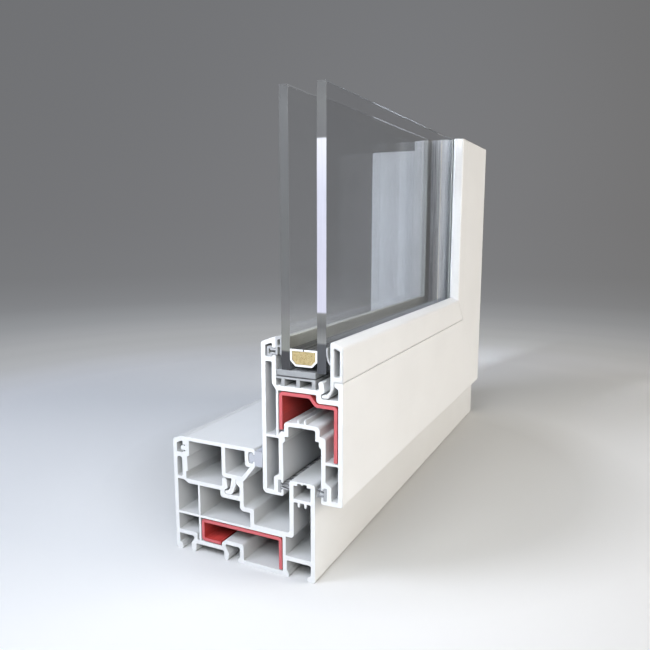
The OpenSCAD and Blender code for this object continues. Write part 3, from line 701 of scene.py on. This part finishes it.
@dataclass(frozen=True)
class DryingBead:
    """Tan porous drying beads, some paler than others."""

    deep: Colour = (0.51, 0.39, 0.18)
    pale: Colour = (0.6, 0.48, 0.25)
    lump: float = 1.6 * MM
    pore: float = 0.12 * MM
    rough: Band = (0.75, 0.95)
    depth: float = 0.04 * MM

    def material(self) -> Material:
        """Builds the material.

        Returns:
            The finish.
        """
        g = Graph("drying beads")
        lumps = g.noise(self.lump)
        pores = g.noise(self.pore, roughness=0.7)
        g.relief(pores, self.depth, strength=0.6)
        g.put({
            "Base Color": g.blend(g.spread(lumps, *NOISE_MIDDLE), self.deep, self.pale),
            "Roughness": g.spread(pores, *NOISE_MOST, *self.rough),
        })
        return g.material


@dataclass(frozen=True)
class PileYarn:
    """Grey pile of a brush seal, each bristle with its own shade."""

    dark: Colour = (0.12, 0.12, 0.13)
    pale: Colour = (0.8, 0.81, 0.83)
    shade: str = "strand"
    shade_range: Band = (0.15, 0.95)
    twist: float = 0.3 * MM
    twist_share: float = 0.4
    rough: Band = (0.55, 0.8)
    sheen: float = 0.3

    def material(self) -> Material:
        """Builds the material.

        Returns:
            The finish.
        """
        g = Graph("pile yarn")
        strand = g.add(
            "ShaderNodeAttribute", attribute_type="GEOMETRY", attribute_name=self.shade
        ).outputs["Fac"]
        twist = g.noise(self.twist)
        uneven = g.times(g.maths("SUBTRACT", twist, NOISE_MEAN), self.twist_share)
        shade = g.maths("ADD", strand, uneven)
        g.put({
            "Base Color": g.blend(g.spread(shade, *self.shade_range), self.dark, self.pale),
            "Roughness": g.spread(twist, *NOISE_MOST, *self.rough),
            "Sheen Weight": self.sheen,
        })
        return g.material


@dataclass(frozen=True)
class WovenTape:
    """Grey woven tape that carries the pile, with its weave across the length."""

    length: Length
    thread: Colour = (0.5, 0.51, 0.52)
    gap: Colour = (0.3, 0.3, 0.31)
    warp: float = 0.6 * MM
    weft: float = 0.45 * MM
    wander: float = 0.3
    rough: Band = (0.9, 0.7)
    depth: float = 0.06 * MM

    def material(self) -> Material:
        """Builds the material.

        Returns:
            The finish.
        """
        g = Graph(f"woven tape {self.length.run.value}")
        along, across = ("Y", "Z") if self.length.run is Run.BOTTOM else ("Z", "Y")
        warp = g.bands(self.warp, across, self.wander)
        weave = g.maths("MAXIMUM", warp, g.bands(self.weft, along, self.wander))
        g.relief(weave, self.depth, strength=0.6)
        g.put({
            "Base Color": g.blend(weave, self.gap, self.thread),
            "Roughness": g.spread(weave, 0.0, 1.0, *self.rough),
        })
        return g.material


def put_in_scene(name: str, data: bpy.types.ID) -> bpy.types.Object:
    """Puts a new object in the scene.

    Args:
        name: The object's name.
        data: Its mesh, lamp or camera.

    Returns:
        The object.
    """
    thing = bpy.data.objects.new(name, data)
    bpy.context.scene.collection.objects.link(thing)
    return thing


class Growth(NodeTree):
    """A Geometry Nodes tree whose named inputs set the sizes of what it repeats."""

    def __init__(self, name: str, inputs: Mapping[str, float | int]) -> None:
        """Starts a tree with its inputs.

        Args:
            name: The tree's name.
            inputs: Each named input with its first value.
        """
        self.tree = bpy.data.node_groups.new(name, "GeometryNodeTree")
        super().__init__(self.tree)
        face = self.tree.interface
        face.new_socket("Geometry", in_out="INPUT", socket_type="NodeSocketGeometry")
        self.keys: dict[str, str] = {}
        for label, value in inputs.items():
            kind = "NodeSocketInt" if isinstance(value, int) else "NodeSocketFloat"
            socket = face.new_socket(label, in_out="INPUT", socket_type=kind)
            socket.default_value = value
            self.keys[label] = socket.identifier
        face.new_socket("Geometry", in_out="OUTPUT", socket_type="NodeSocketGeometry")
        self.given = self.add("NodeGroupInput").outputs
        self.end = self.add("NodeGroupOutput")

    def random(self, kind: str, lo: Feed, hi: Feed, draw: Draw) -> Socket:
        """Adds a random value for each point.

        Args:
            kind: FLOAT or FLOAT_VECTOR.
            lo: The lowest value.
            hi: The highest value.
            draw: The draw that it is.

        Returns:
            The random value.
        """
        at, out = (0, 0) if kind == "FLOAT_VECTOR" else (2, 1)
        seed = self.maths("ADD", self.given["Seed"], float(draw.value))
        inputs = {at: lo, at + 1: hi, "Seed": seed}
        return self.add("FunctionNodeRandomValue", inputs, data_type=kind).outputs[out]

    def finish(self, instances: Socket, material: Material) -> None:
        """Ends the tree: makes the instances real and gives them their material.

        Args:
            instances: What the tree repeats.
            material: Its finish.
        """
        real = self.add("GeometryNodeRealizeInstances", {"Geometry": instances})
        dressed = self.add("GeometryNodeSetMaterial", {"Geometry": real.outputs["Geometry"]})
        dressed.inputs["Material"].default_value = material
        self.feed(self.end.inputs["Geometry"], dressed.outputs["Geometry"])

    def grow(
        self, corners: Sequence[Place], values: Mapping[str, float | int], length: Length
    ) -> Mesh:
        """Runs the tree on one flat face and gives the result as a plain mesh in its place.

        Args:
            corners: The face's corners, lying along the sill, anticlockwise seen from its front.
            values: The values of those named inputs that don't keep their first value.
            length: The length of profile that the face belongs to.

        Returns:
            The grown mesh.
        """
        base = bpy.data.meshes.new("base")
        base.from_pydata(corners, [], [tuple(range(len(corners)))])
        base.update()
        holder = put_in_scene("holder", base)
        modifier = holder.modifiers.new("grow", "NODES")
        modifier.node_group = self.tree
        for label, value in values.items():
            modifier[self.keys[label]] = value
        graph = bpy.context.evaluated_depsgraph_get()
        mesh = bpy.data.meshes.new_from_object(
            holder.evaluated_get(graph), preserve_all_data_layers=True, depsgraph=graph
        )
        holder.modifiers.remove(modifier)
        bpy.data.objects.remove(holder)
        bpy.data.meshes.remove(base)
        if length.run is Run.SIDE:
            bm = bmesh.new()
            bm.from_mesh(mesh)
            length.stand_up(bm)
            bm.to_mesh(mesh)
            bm.free()
        return mesh


def place_piece(name: str, mesh: Mesh, body: Body, slot: str, *stands_for: str) -> None:
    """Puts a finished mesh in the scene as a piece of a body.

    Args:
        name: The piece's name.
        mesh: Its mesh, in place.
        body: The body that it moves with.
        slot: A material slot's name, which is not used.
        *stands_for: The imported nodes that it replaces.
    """
    mesh.name = name
    piece = put_in_scene(name, mesh)
    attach(piece, body.value)
    if stands_for:
        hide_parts(*stands_for)
    LOG.info("made %s, %d faces, on %s", name, len(mesh.polygons), body.value)


def dress(nodes: Packed, finish: Material, *names: str) -> None:
    """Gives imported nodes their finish.

    Args:
        nodes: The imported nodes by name.
        finish: The material.
        *names: The nodes that take it.
    """
    for name in names:
        node = nodes[name]
        if not node.material_slots:
            node.data.materials.append(finish)
        for slot in node.material_slots:
            slot.material = finish
        LOG.info("dressed %s in %s", name, finish.name)


def strip(section: Outline, length: Length, set_back: float = 0.0) -> BMesh:
    """Makes a closed length of one section, square at its open end and mitred at the corner.

    Args:
        section: The outline's corners, as X and the distance in from the outer edge.
        length: Where it runs.
        set_back: How far the square end lies behind the cut.

    Returns:
        The strip, in its place.
    """
    bm = bmesh.new()
    start = length.open_end + set_back
    near = [bm.verts.new((x, start, s)) for x, s in section]
    far = [bm.verts.new((x, length.corner - s, s)) for x, s in section]
    bm.faces.new(near)
    bm.faces.new(far)
    for i in range(len(section)):
        j = (i + 1) % len(section)
        bm.faces.new((near[i], near[j], far[j], far[i]))
    bmesh.ops.recalc_face_normals(bm, faces=bm.faces)
    length.stand_up(bm)
    return bm


def to_mesh(name: str, bm: BMesh, *materials: Material) -> Mesh:
    """Turns what was modelled into a mesh.

    Args:
        name: The mesh's name.
        bm: What was modelled, which is freed.
        *materials: Its finishes.

    Returns:
        The mesh.
    """
    mesh = bpy.data.meshes.new(name)
    bm.to_mesh(mesh)
    bm.free()
    for material in materials:
        mesh.materials.append(material)
    return mesh


@dataclass
class OuterFrame:
    """The fixed frame with its steels, snap-in cover and rubber strip."""

    lengths: Lengths
    nodes: Packed
    # The frame's skin is darker than the sash's: painted shade, from the sash's overhang on the
    # frame's room face.
    skin: Colour = (0.8, 0.8, 0.79)
    strip: tuple[Colour, ...] = ((0.5, 0.51, 0.56), (0.56, 0.57, 0.61), (0.5, 0.51, 0.56))

    def build(self) -> None:
        """Dresses both lengths of every frame profile."""
        for length, end in zip(self.lengths, FRAME_ENDS):
            # The frame's darker skin is painted shade.
            for finish, node in (
                (WhitePlastic(length, "frame", self.skin), f"frame_{end}"),
                (WhitePlastic(length, "cover"), f"cover_{end}"),
                (RedPrimer(length), f"frame_steel_{end}"),
                (SealRubber("strip rubber", length, *self.strip), f"cover_seal_{end}"),
            ):
                dress(self.nodes, finish.material(), node)


@dataclass
class PileSeals:
    """The four brush seals between the sash and the rail."""

    lengths: Lengths
    tape_t: float = 1.9 * MM
    tape_chamfer: float = 0.35 * MM
    root_band: float = 3.6 * MM
    root_sink: float = 0.2 * MM
    end_margin: float = 0.5 * MM
    bristle_len: float = 6 * MM
    bristle_root: float = 0.2 * MM
    bristle_tip: float = 0.13 * MM
    bristle_sides: int = 3
    bristle_least: Size = (0.8, 0.8, 0.86)
    bristle_most: Size = (1.2, 1.2, 1.0)
    per_square_metre: float = 2.6e6
    flare: float = 130.0
    unruly: float = 0.07
    seed: int = 11
    side_seed: int = 5

    def pile_tree(self) -> Growth:
        """Builds the tree that grows bristles from a tape's face.

        Returns:
            The tree.
        """
        g = Growth(
            "pile",
            {
                "Density": self.per_square_metre, "Length": self.bristle_len,
                "Root": self.bristle_root, "Tip": self.bristle_tip, "Middle": 0.0,
                "Flare": self.flare, "Unruly": self.unruly, "Seed": self.seed,
            },
        )
        given = g.given
        roots = g.add(
            "GeometryNodeDistributePointsOnFaces",
            {"Mesh": given["Geometry"], "Density": given["Density"], "Seed": given["Seed"]},
            distribute_method="RANDOM",
        ).outputs
        bristle = g.add(
            "GeometryNodeMeshCone",
            {
                "Vertices": self.bristle_sides, "Radius Top": given["Tip"],
                "Radius Bottom": given["Root"], "Depth": given["Length"],
            },
            fill_type="NGON",
        )
        size = g.random("FLOAT_VECTOR", self.bristle_least, self.bristle_most, Draw.SIZE)
        grown = g.add(
            "GeometryNodeInstanceOnPoints",
            {
                "Points": roots["Points"], "Instance": bristle.outputs["Mesh"],
                "Rotation": roots["Rotation"], "Scale": size,
            },
        )
        root = g.add("GeometryNodeInputPosition").outputs[0]
        height = g.add("ShaderNodeSeparateXYZ", {0: root}).outputs["Z"]
        lean = g.times(g.maths("SUBTRACT", height, given["Middle"]), given["Flare"])
        loose = g.times(given["Unruly"], -1.0)
        lean = g.maths("ADD", lean, g.random("FLOAT", loose, given["Unruly"], Draw.LEAN))
        sway = g.random("FLOAT", loose, given["Unruly"], Draw.SWAY)
        tilt = g.add("ShaderNodeCombineXYZ", {"Y": lean, "Z": sway}).outputs["Vector"]
        turn = g.add("FunctionNodeEulerToRotation", {"Euler": tilt}).outputs["Rotation"]
        leaning = g.add(
            "GeometryNodeRotateInstances",
            {
                "Instances": grown.outputs["Instances"], "Rotation": turn,
                "Pivot Point": root, "Local Space": False,
            },
        )
        shade = g.random("FLOAT", 0.0, 1.0, Draw.SHADE)
        shaded = g.add(
            "GeometryNodeStoreNamedAttribute",
            {"Geometry": leaning.outputs["Instances"], "Value": shade},
            domain="INSTANCE",
            data_type="FLOAT",
        )
        shaded.inputs["Name"].default_value = PileYarn.shade
        g.finish(shaded.outputs["Geometry"], PileYarn().material())
        return g

    def build(self) -> None:
        """Makes a tape and its pile for each seal."""
        tree = self.pile_tree()
        for length, end in zip(self.lengths, SASH_ENDS):
            tape = WovenTape(length).material()
            for side in Side:
                self.seal(f"brush_{side.name.lower()}_{end}", length, side, tree, tape)

    def seal(self, node: str, length: Length, side: Side, tree: Growth, tape: Material) -> None:
        """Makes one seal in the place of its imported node.

        Args:
            node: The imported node.
            length: Where the seal runs.
            side: The side of the rail that it wipes.
            tree: The tree that grows the pile.
            tape: The tape's finish.
        """
        lo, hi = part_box(node)
        way = side.value
        back, tip = (lo.x, hi.x) if side is Side.OUTER else (hi.x, lo.x)
        front = back + way * self.tape_t
        s_lo, s_hi = length.span(lo, hi)
        c = self.tape_chamfer
        section = [
            (back, s_lo + c), (back + way * c, s_lo), (front - way * c, s_lo), (front, s_lo + c),
            (front, s_hi - c), (front - way * c, s_hi), (back + way * c, s_hi), (back, s_hi - c),
        ]
        woven = to_mesh("tape", strip(section, length), tape)
        place_piece(f"{node}_tape", woven, Body.SASH, "brush_pile")

        middle, half = (s_lo + s_hi) / 2, self.root_band / 2
        start = length.open_end + self.end_margin
        mitre = length.corner - middle
        root = front - way * self.root_sink
        corners = [
            (root, start, middle - half), (root, mitre + half, middle - half),
            (root, mitre - half, middle + half), (root, start, middle + half),
        ]
        corners = corners if side is Side.OUTER else corners[::-1]
        values = {
            "Length": abs(tip - root), "Middle": middle, "Flare": -way * self.flare,
            "Seed": self.seed + 2 * way + (self.side_seed if length.run is Run.SIDE else 0),
        }
        pile = tree.grow(corners, values, length)
        place_piece(f"{node}_pile", pile, Body.SASH, "brush_pile", node)


@dataclass
class Glazing:
    """The two panes, the spacer bar with its drying beads, the gaskets and the setting block."""

    lengths: Lengths
    nodes: Packed
    arris: float = 0.12 * MM
    arris_steps: int = 2
    arris_profile: float = 0.6
    bead_r: float = 0.55 * MM
    bead_gap: float = 0.92 * MM
    bead_least: float = 0.82
    bead_steps: int = 2
    beads_per_square_metre: float = 3e6
    seed: int = 7
    corner_cut: float = 3.04 * MM
    block: tuple[Colour, ...] = ((0.365, 0.37, 0.375), (0.325, 0.33, 0.335))
    bridge: tuple[Colour, ...] = ((0.44, 0.445, 0.445), (0.385, 0.39, 0.39))
    gasket: tuple[Colour, ...] = ((0.53, 0.54, 0.51), (0.58, 0.59, 0.56), (0.46, 0.46, 0.47))
    outer_tint: Colour = (0.925, 0.935, 0.945)
    inner_tint: Colour = (0.87, 0.88, 0.9)
    # The front edges' colours by height are painted light: painted shade low in the rebate and
    # painted reflections of the stile and gaskets above.
    outer_edge_painted_light: Shades = (
        (0.1460, (0.054, 0.054, 0.057)),
        (0.1584, (0.051, 0.049, 0.053)),
        (0.1592, (0.218, 0.218, 0.192)),
        (0.1780, (0.2, 0.197, 0.185)),
        (0.1860, (0.161, 0.154, 0.152)),
        (0.2000, (0.126, 0.125, 0.122)),
        (0.2300, (0.113, 0.112, 0.108)),
        (0.2900, (0.108, 0.107, 0.105)),
        (0.3120, (0.111, 0.11, 0.107)),
        (0.3250, (0.092, 0.09, 0.087)),
    )
    inner_edge_painted_light: Shades = (
        (0.1460, (0.072, 0.074, 0.082)),
        (0.1651, (0.078, 0.079, 0.083)),
        (0.1659, (0.243, 0.24, 0.229)),
        (0.1765, (0.118, 0.116, 0.112)),
        (0.1849, (0.176, 0.173, 0.161)),
        (0.1857, (0.541, 0.519, 0.593)),
        (0.2200, (0.508, 0.488, 0.556)),
        (0.2600, (0.505, 0.494, 0.553)),
        (0.2914, (0.607, 0.588, 0.603)),
        (0.2922, (0.1, 0.097, 0.096)),
        (0.3120, (0.107, 0.105, 0.099)),
        (0.3250, (0.088, 0.085, 0.081)),
    )

    def build(self) -> None:
        """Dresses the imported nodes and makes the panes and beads."""
        for length, end in zip(self.lengths, SASH_ENDS):
            lo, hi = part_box(f"spacer_{end}")
            metal = SpacerMetal(length, (lo.x + hi.x) / 2)
            dress(self.nodes, metal.material(), f"spacer_{end}")
            rubber = SealRubber("gasket rubber", length, *self.gasket)
            dress(self.nodes, rubber.material(), f"glazing_gasket_{end}", f"bead_gasket_{end}")
        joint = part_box("setting_block")[0].z
        block = MouldedGrey("setting block plastic", *self.block, joint)
        bridge = MouldedGrey("bridge plastic", *self.bridge, joint)
        dress(self.nodes, block.material(), "setting_block")
        dress(self.nodes, bridge.material(), "glazing_bridge")
        self.pane("glass_outer", self.outer_tint, self.outer_edge_painted_light)
        self.pane("glass_inner", self.inner_tint, self.inner_edge_painted_light)
        self.desiccant()

    def pane(self, node: str, tint: Colour, shades: Shades) -> None:
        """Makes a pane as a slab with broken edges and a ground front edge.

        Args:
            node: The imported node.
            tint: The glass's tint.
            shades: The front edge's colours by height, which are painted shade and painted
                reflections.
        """
        glass = FloatGlass(f"float glass of {node}", tint).material()
        edge = PaintedLightEdge(f"edge of {node}", shades).material()
        lo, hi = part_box(node)
        bm = bmesh.new()
        bmesh.ops.create_cube(bm, size=1.0)
        fit = Matrix.Translation((lo + hi) / 2) @ Matrix.Diagonal((*(hi - lo), 1.0))
        bmesh.ops.transform(bm, matrix=fit, verts=bm.verts)
        bmesh.ops.bevel(
            bm, geom=bm.edges[:], offset=self.arris, segments=self.arris_steps,
            profile=self.arris_profile, affect="EDGES",
        )
        for face in bm.faces:
            face.material_index = int(face.calc_center_median().y < lo.y + self.arris)
        pane = to_mesh("pane", bm, glass, edge)
        place_piece(f"{node}_pane", pane, Body.SASH, "clear_glass", node)

    def bead_tree(self, finish: Material) -> Growth:
        """Builds the tree that packs beads over a bar's open end.

        Args:
            finish: The beads' finish.

        Returns:
            The tree.
        """
        g = Growth("beads", {"Radius": self.bead_r, "Gap": self.bead_gap, "Seed": self.seed})
        given = g.given
        spots = g.add(
            "GeometryNodeDistributePointsOnFaces",
            {"Mesh": given["Geometry"], "Distance Min": given["Gap"], "Seed": given["Seed"]},
            distribute_method="POISSON",
        )
        spots.inputs["Density Max"].default_value = self.beads_per_square_metre
        ball = {"Subdivisions": self.bead_steps, "Radius": given["Radius"]}
        bead = g.add("GeometryNodeMeshIcoSphere", ball)
        packed = g.add(
            "GeometryNodeInstanceOnPoints",
            {
                "Points": spots.outputs["Points"], "Instance": bead.outputs["Mesh"],
                "Scale": g.random("FLOAT", self.bead_least, 1.0, Draw.SIZE),
            },
        )
        smooth = g.add("GeometryNodeSetShadeSmooth", {"Geometry": packed.outputs["Instances"]})
        g.finish(smooth.outputs["Geometry"], finish)
        return g

    def desiccant(self) -> None:
        """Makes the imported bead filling, with single beads at each open end."""
        finish = DryingBead().material()
        tree = self.bead_tree(finish)
        cut = self.corner_cut
        for seed, (length, end) in enumerate(zip(self.lengths, SASH_ENDS), self.seed):
            node = f"desiccant_{end}"
            lo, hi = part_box(node)
            s_lo, s_hi = length.span(lo, hi)
            section = [
                (lo.x + cut, s_lo), (hi.x - cut, s_lo), (hi.x, s_lo + cut),
                (hi.x, s_hi), (lo.x, s_hi), (lo.x, s_lo + cut),
            ]
            core = to_mesh("core", strip(section, length, self.bead_r), finish)
            place_piece(f"{node}_core", core, Body.SASH, "desiccant", node)
            mid_x, mid_s = (lo.x + hi.x) / 2, (s_lo + s_hi) / 2
            by = 1 - 2 * self.bead_r / (s_hi - s_lo)
            face = length.open_end + self.bead_r
            corners = [
                (mid_x + (x - mid_x) * by, face, mid_s + (s - mid_s) * by) for x, s in section
            ]
            beads = tree.grow(corners, {"Seed": seed}, length)
            place_piece(f"{node}_beads", beads, Body.SASH, "desiccant")


@dataclass
class SlidingSash:
    """The sliding sash with its steels, beads, pile seals and glazing."""

    lengths: Lengths
    nodes: Packed
    bead_edge: float = 3.0 * MM

    def build(self) -> None:
        """Dresses both lengths of the sash and builds what it carries."""
        for length, end in zip(self.lengths, SASH_ENDS):
            for finish, node in (
                (WhitePlastic(length, "sash"), f"sash_{end}"),
                (WhitePlastic(length, "bead", edge=self.bead_edge), f"bead_{end}"),
                (RedPrimer(length), f"sash_steel_{end}"),
            ):
                dress(self.nodes, finish.material(), node)
        PileSeals(self.lengths).build()
        Glazing(self.lengths, self.nodes).build()


@dataclass(frozen=True)
class Lamp:
    """A soft square lamp, with its width in metres, power in watts and beam in degrees."""

    name: str
    at: Place
    size: float
    power: float
    colour: Colour
    beam: float = 180.0
    aim: Place = (0.0, -0.05, 0.12)

    def hang(self) -> None:
        """Hangs the lamp, which neither the camera nor the glass shows."""
        data = bpy.data.lights.new(self.name, "AREA")
        data.shape = "SQUARE"
        data.size = self.size
        data.energy = self.power
        data.color = self.colour
        data.spread = math.radians(self.beam)
        lamp = put_in_scene(self.name, data)
        lamp.location = self.at
        towards = Vector(self.aim) - Vector(self.at)
        lamp.rotation_euler = towards.to_track_quat("-Z", "Y").to_euler()
        lamp.visible_camera = False
        lamp.visible_transmission = False


@dataclass
class Studio:
    """Camera, soft lamps, pale floor and grey backdrop."""

    eye: Place = (0.227776, -0.578294, 0.238670)
    pitch: float = 81.1857
    yaw: float = 25.9688
    lens: float = 35.0
    sensor: float = 36.0
    clip: Band = (0.01, 20.0)
    lamps: tuple[Lamp, ...] = (
        Lamp("key lamp", (-0.80, -0.96, 1.12), 0.6, 11.6, (0.81, 0.86, 1.0)),
        Lamp("front lamp", (0.06, -0.54, 0.4), 0.3, 0.76, (0.87, 0.93, 1.0), 110.0),
        Lamp("front side lamp", (0.7, -0.68, 0.42), 0.5, 1.3, (1.0, 0.92, 0.8)),
        Lamp("room lamp", (1.5, 0.45, 0.48), 0.9, 16.9, (1.0, 0.935, 0.85)),
        Lamp(
            "jamb lamp", (-0.3, -0.75, 0.72), 0.12, 0.31, (0.82, 0.91, 1.0),
            beam=24.0, aim=(-0.035, 0.17, 0.28),
        ),
    )
    fill: tuple[float, float, float, float] = (0.8, 0.9, 1.0, 1.0)
    fill_strength: float = 0.15
    floor_rings: tuple[float, ...] = (0.2, 0.6, 1.0)
    floor_r: float = 1.5
    wall_r: float = 2.4
    wall_h: float = 2.2
    bend_step: int = 6
    segments: int = 96
    bounces: int = 48
    matte_bounces: int = 1
    # Painted light: a cool tint on the paper's left and a warm tint on its right.
    painted_tint_half: float = 0.9
    painted_cool_light: Colour = (1.02, 1.04, 1.07)
    painted_warm_light: Colour = (0.93, 0.915, 0.89)
    # A painted pool of light: brightest near a point up and to the left of the window, dimmer away
    # from it.
    painted_pool_aside: float = 0.5
    painted_pool_height: float = 0.5
    painted_pool_reach: Band = (0.2, 1.9)
    painted_pool_range: Band = (1.08, 0.92)
    own_light: Band = (0.5, 1.0)
    paper_grain: float = 1.5 * MM
    paper_rough: Band = (0.85, 0.95)
    # The paper's shades by distance from the window are painted light: painted shade close round the
    # window, pale beyond it, then falling off to grey far off.
    shades: Shades = (
        (0.00, (0.79, 0.78, 0.76)),
        (0.20, (0.8, 0.79, 0.77)),
        (0.27, (0.96, 0.95, 0.935)),
        (0.36, (0.965, 0.955, 0.94)),
        (0.46, (0.965, 0.955, 0.94)),
        (0.55, (0.96, 0.945, 0.93)),
        (0.64, (0.79, 0.78, 0.77)),
        (0.72, (0.6, 0.595, 0.585)),
        (0.82, (0.445, 0.446, 0.444)),
        (0.95, (0.34, 0.342, 0.347)),
        (1.15, (0.28, 0.284, 0.29)),
        (1.50, (0.226, 0.228, 0.233)),
        (1.90, (0.192, 0.192, 0.195)),
        (2.40, (0.182, 0.181, 0.184)),
        (3.40, (0.174, 0.174, 0.177)),
    )

    def build(self) -> None:
        """Sets up the whole studio."""
        self.camera()
        for lamp in self.lamps:
            lamp.hang()
        self.world()
        self.backdrop()
        scene = bpy.context.scene
        scene.view_settings.view_transform = "Standard"
        scene.cycles.diffuse_bounces = self.matte_bounces
        for kind in ("max", "glossy", "transmission", "transparent_max"):
            setattr(scene.cycles, f"{kind}_bounces", self.bounces)

    def camera(self) -> None:
        """Puts the camera at the photograph's place."""
        data = bpy.data.cameras.new("camera")
        data.lens = self.lens
        data.sensor_width = self.sensor
        data.clip_start, data.clip_end = self.clip
        camera = put_in_scene("camera", data)
        camera.location = self.eye
        camera.rotation_euler = (math.radians(self.pitch), 0.0, math.radians(self.yaw))
        bpy.context.scene.camera = camera

    def world(self) -> None:
        """Fills the shadows with an even cool light."""
        world = bpy.data.worlds.new("world")
        world.use_nodes = True
        fill = world.node_tree.nodes["Background"]
        fill.inputs["Color"].default_value = self.fill
        fill.inputs["Strength"].default_value = self.fill_strength
        bpy.context.scene.world = world

    def ring_mesh(self, name: str, profile: Outline, paper: Material) -> Mesh:
        """Turns a profile round the window into a sheet that faces inwards.

        Args:
            name: The mesh's name.
            profile: The profile's radius and height, from the inside out.
            paper: Its finish.

        Returns:
            The sheet, closed in the middle if it starts inside the floor's edge.
        """
        bm = bmesh.new()
        turns = [math.tau * i / self.segments for i in range(self.segments)]
        rings = [
            [bm.verts.new((radius * math.cos(t), radius * math.sin(t), height)) for t in turns]
            for radius, height in profile
        ]
        for inner, outer in zip(rings, rings[1:]):
            for i in range(self.segments):
                j = (i + 1) % self.segments
                bm.faces.new((inner[i], outer[i], outer[j], inner[j]))
        if profile[0][0] < self.floor_r:
            bm.faces.new(rings[0])
        for face in bm.faces:
            face.smooth = True
        return to_mesh(name, bm, paper)

    def backdrop(self) -> None:
        """Lays the floor and bends it up into a backdrop that takes no part in the light."""
        paper = self.paper()
        bend_r = self.wall_r - self.floor_r
        angles = [math.radians(a) for a in range(0, 91, self.bend_step)]
        bend = [(self.floor_r + bend_r * math.sin(a), bend_r * (1 - math.cos(a))) for a in angles]
        for name, profile, lit in (
            ("floor", [(r, 0.0) for r in (*self.floor_rings, self.floor_r)], True),
            ("backdrop", [*bend, (self.wall_r, self.wall_h)], False),
        ):
            sheet = put_in_scene(name, self.ring_mesh(name, profile, paper))
            sheet.visible_diffuse = lit
            sheet.visible_shadow = lit

    def paper(self) -> Material:
        """Builds the floor's paper, painted with light and shade: pale near the window, and a grey
        that needs no lamp far off.

        Returns:
            The material.
        """
        g = Graph("studio paper")
        x, y, z = g.axes()
        reach = g.maths("ADD", g.apart(x, y), z)
        # Painted light: the paper is tinted cool on the left and warm on the right.
        cast = g.spread(x, -self.painted_tint_half, self.painted_tint_half)
        cast = g.blend(cast, self.painted_cool_light, self.painted_warm_light)
        # Painted light and shade by distance, times the painted side tints.
        painted_light_paper = g.blend(1.0, g.ramp(reach, self.shades), cast, "MULTIPLY")
        # Painted pool of light: the paper is brighter near a point up to the left and dimmer away
        # from it.
        rise = g.maths("SUBTRACT", z, self.painted_pool_height)
        off = g.apart(g.maths("ADD", x, self.painted_pool_aside), rise)
        paper = g.dimmed(painted_light_paper, g.spread(off, *self.painted_pool_reach, *self.painted_pool_range))
        g.put({
            "Base Color": paper,
            "Roughness": g.spread(g.noise(self.paper_grain), *NOISE_MOST, *self.paper_rough),
            "Specular IOR Level": 0.0,
        })
        path = g.add("ShaderNodeLightPath").outputs
        seen = g.maths("ADD", path["Is Camera Ray"], path["Is Glossy Ray"])
        seen = g.maths("ADD", seen, path["Is Transmission Ray"], clamp=True)
        glow = g.add("ShaderNodeEmission", {"Color": paper, "Strength": seen})
        g.show_either(g.spread(reach, *self.own_light), glow.outputs["Emission"])
        return g.material


def main() -> None:
    """Builds the window and its studio."""
    logging.basicConfig(level=logging.INFO, format="%(name)s: %(message)s")
    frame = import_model()
    lengths = tuple(Length.of_frame(run) for run in Run)
    OuterFrame(lengths, frame["nodes"]).build()
    SlidingSash(lengths, frame["nodes"]).build()
    Studio().build()


if __name__ == "__main__":
    main()
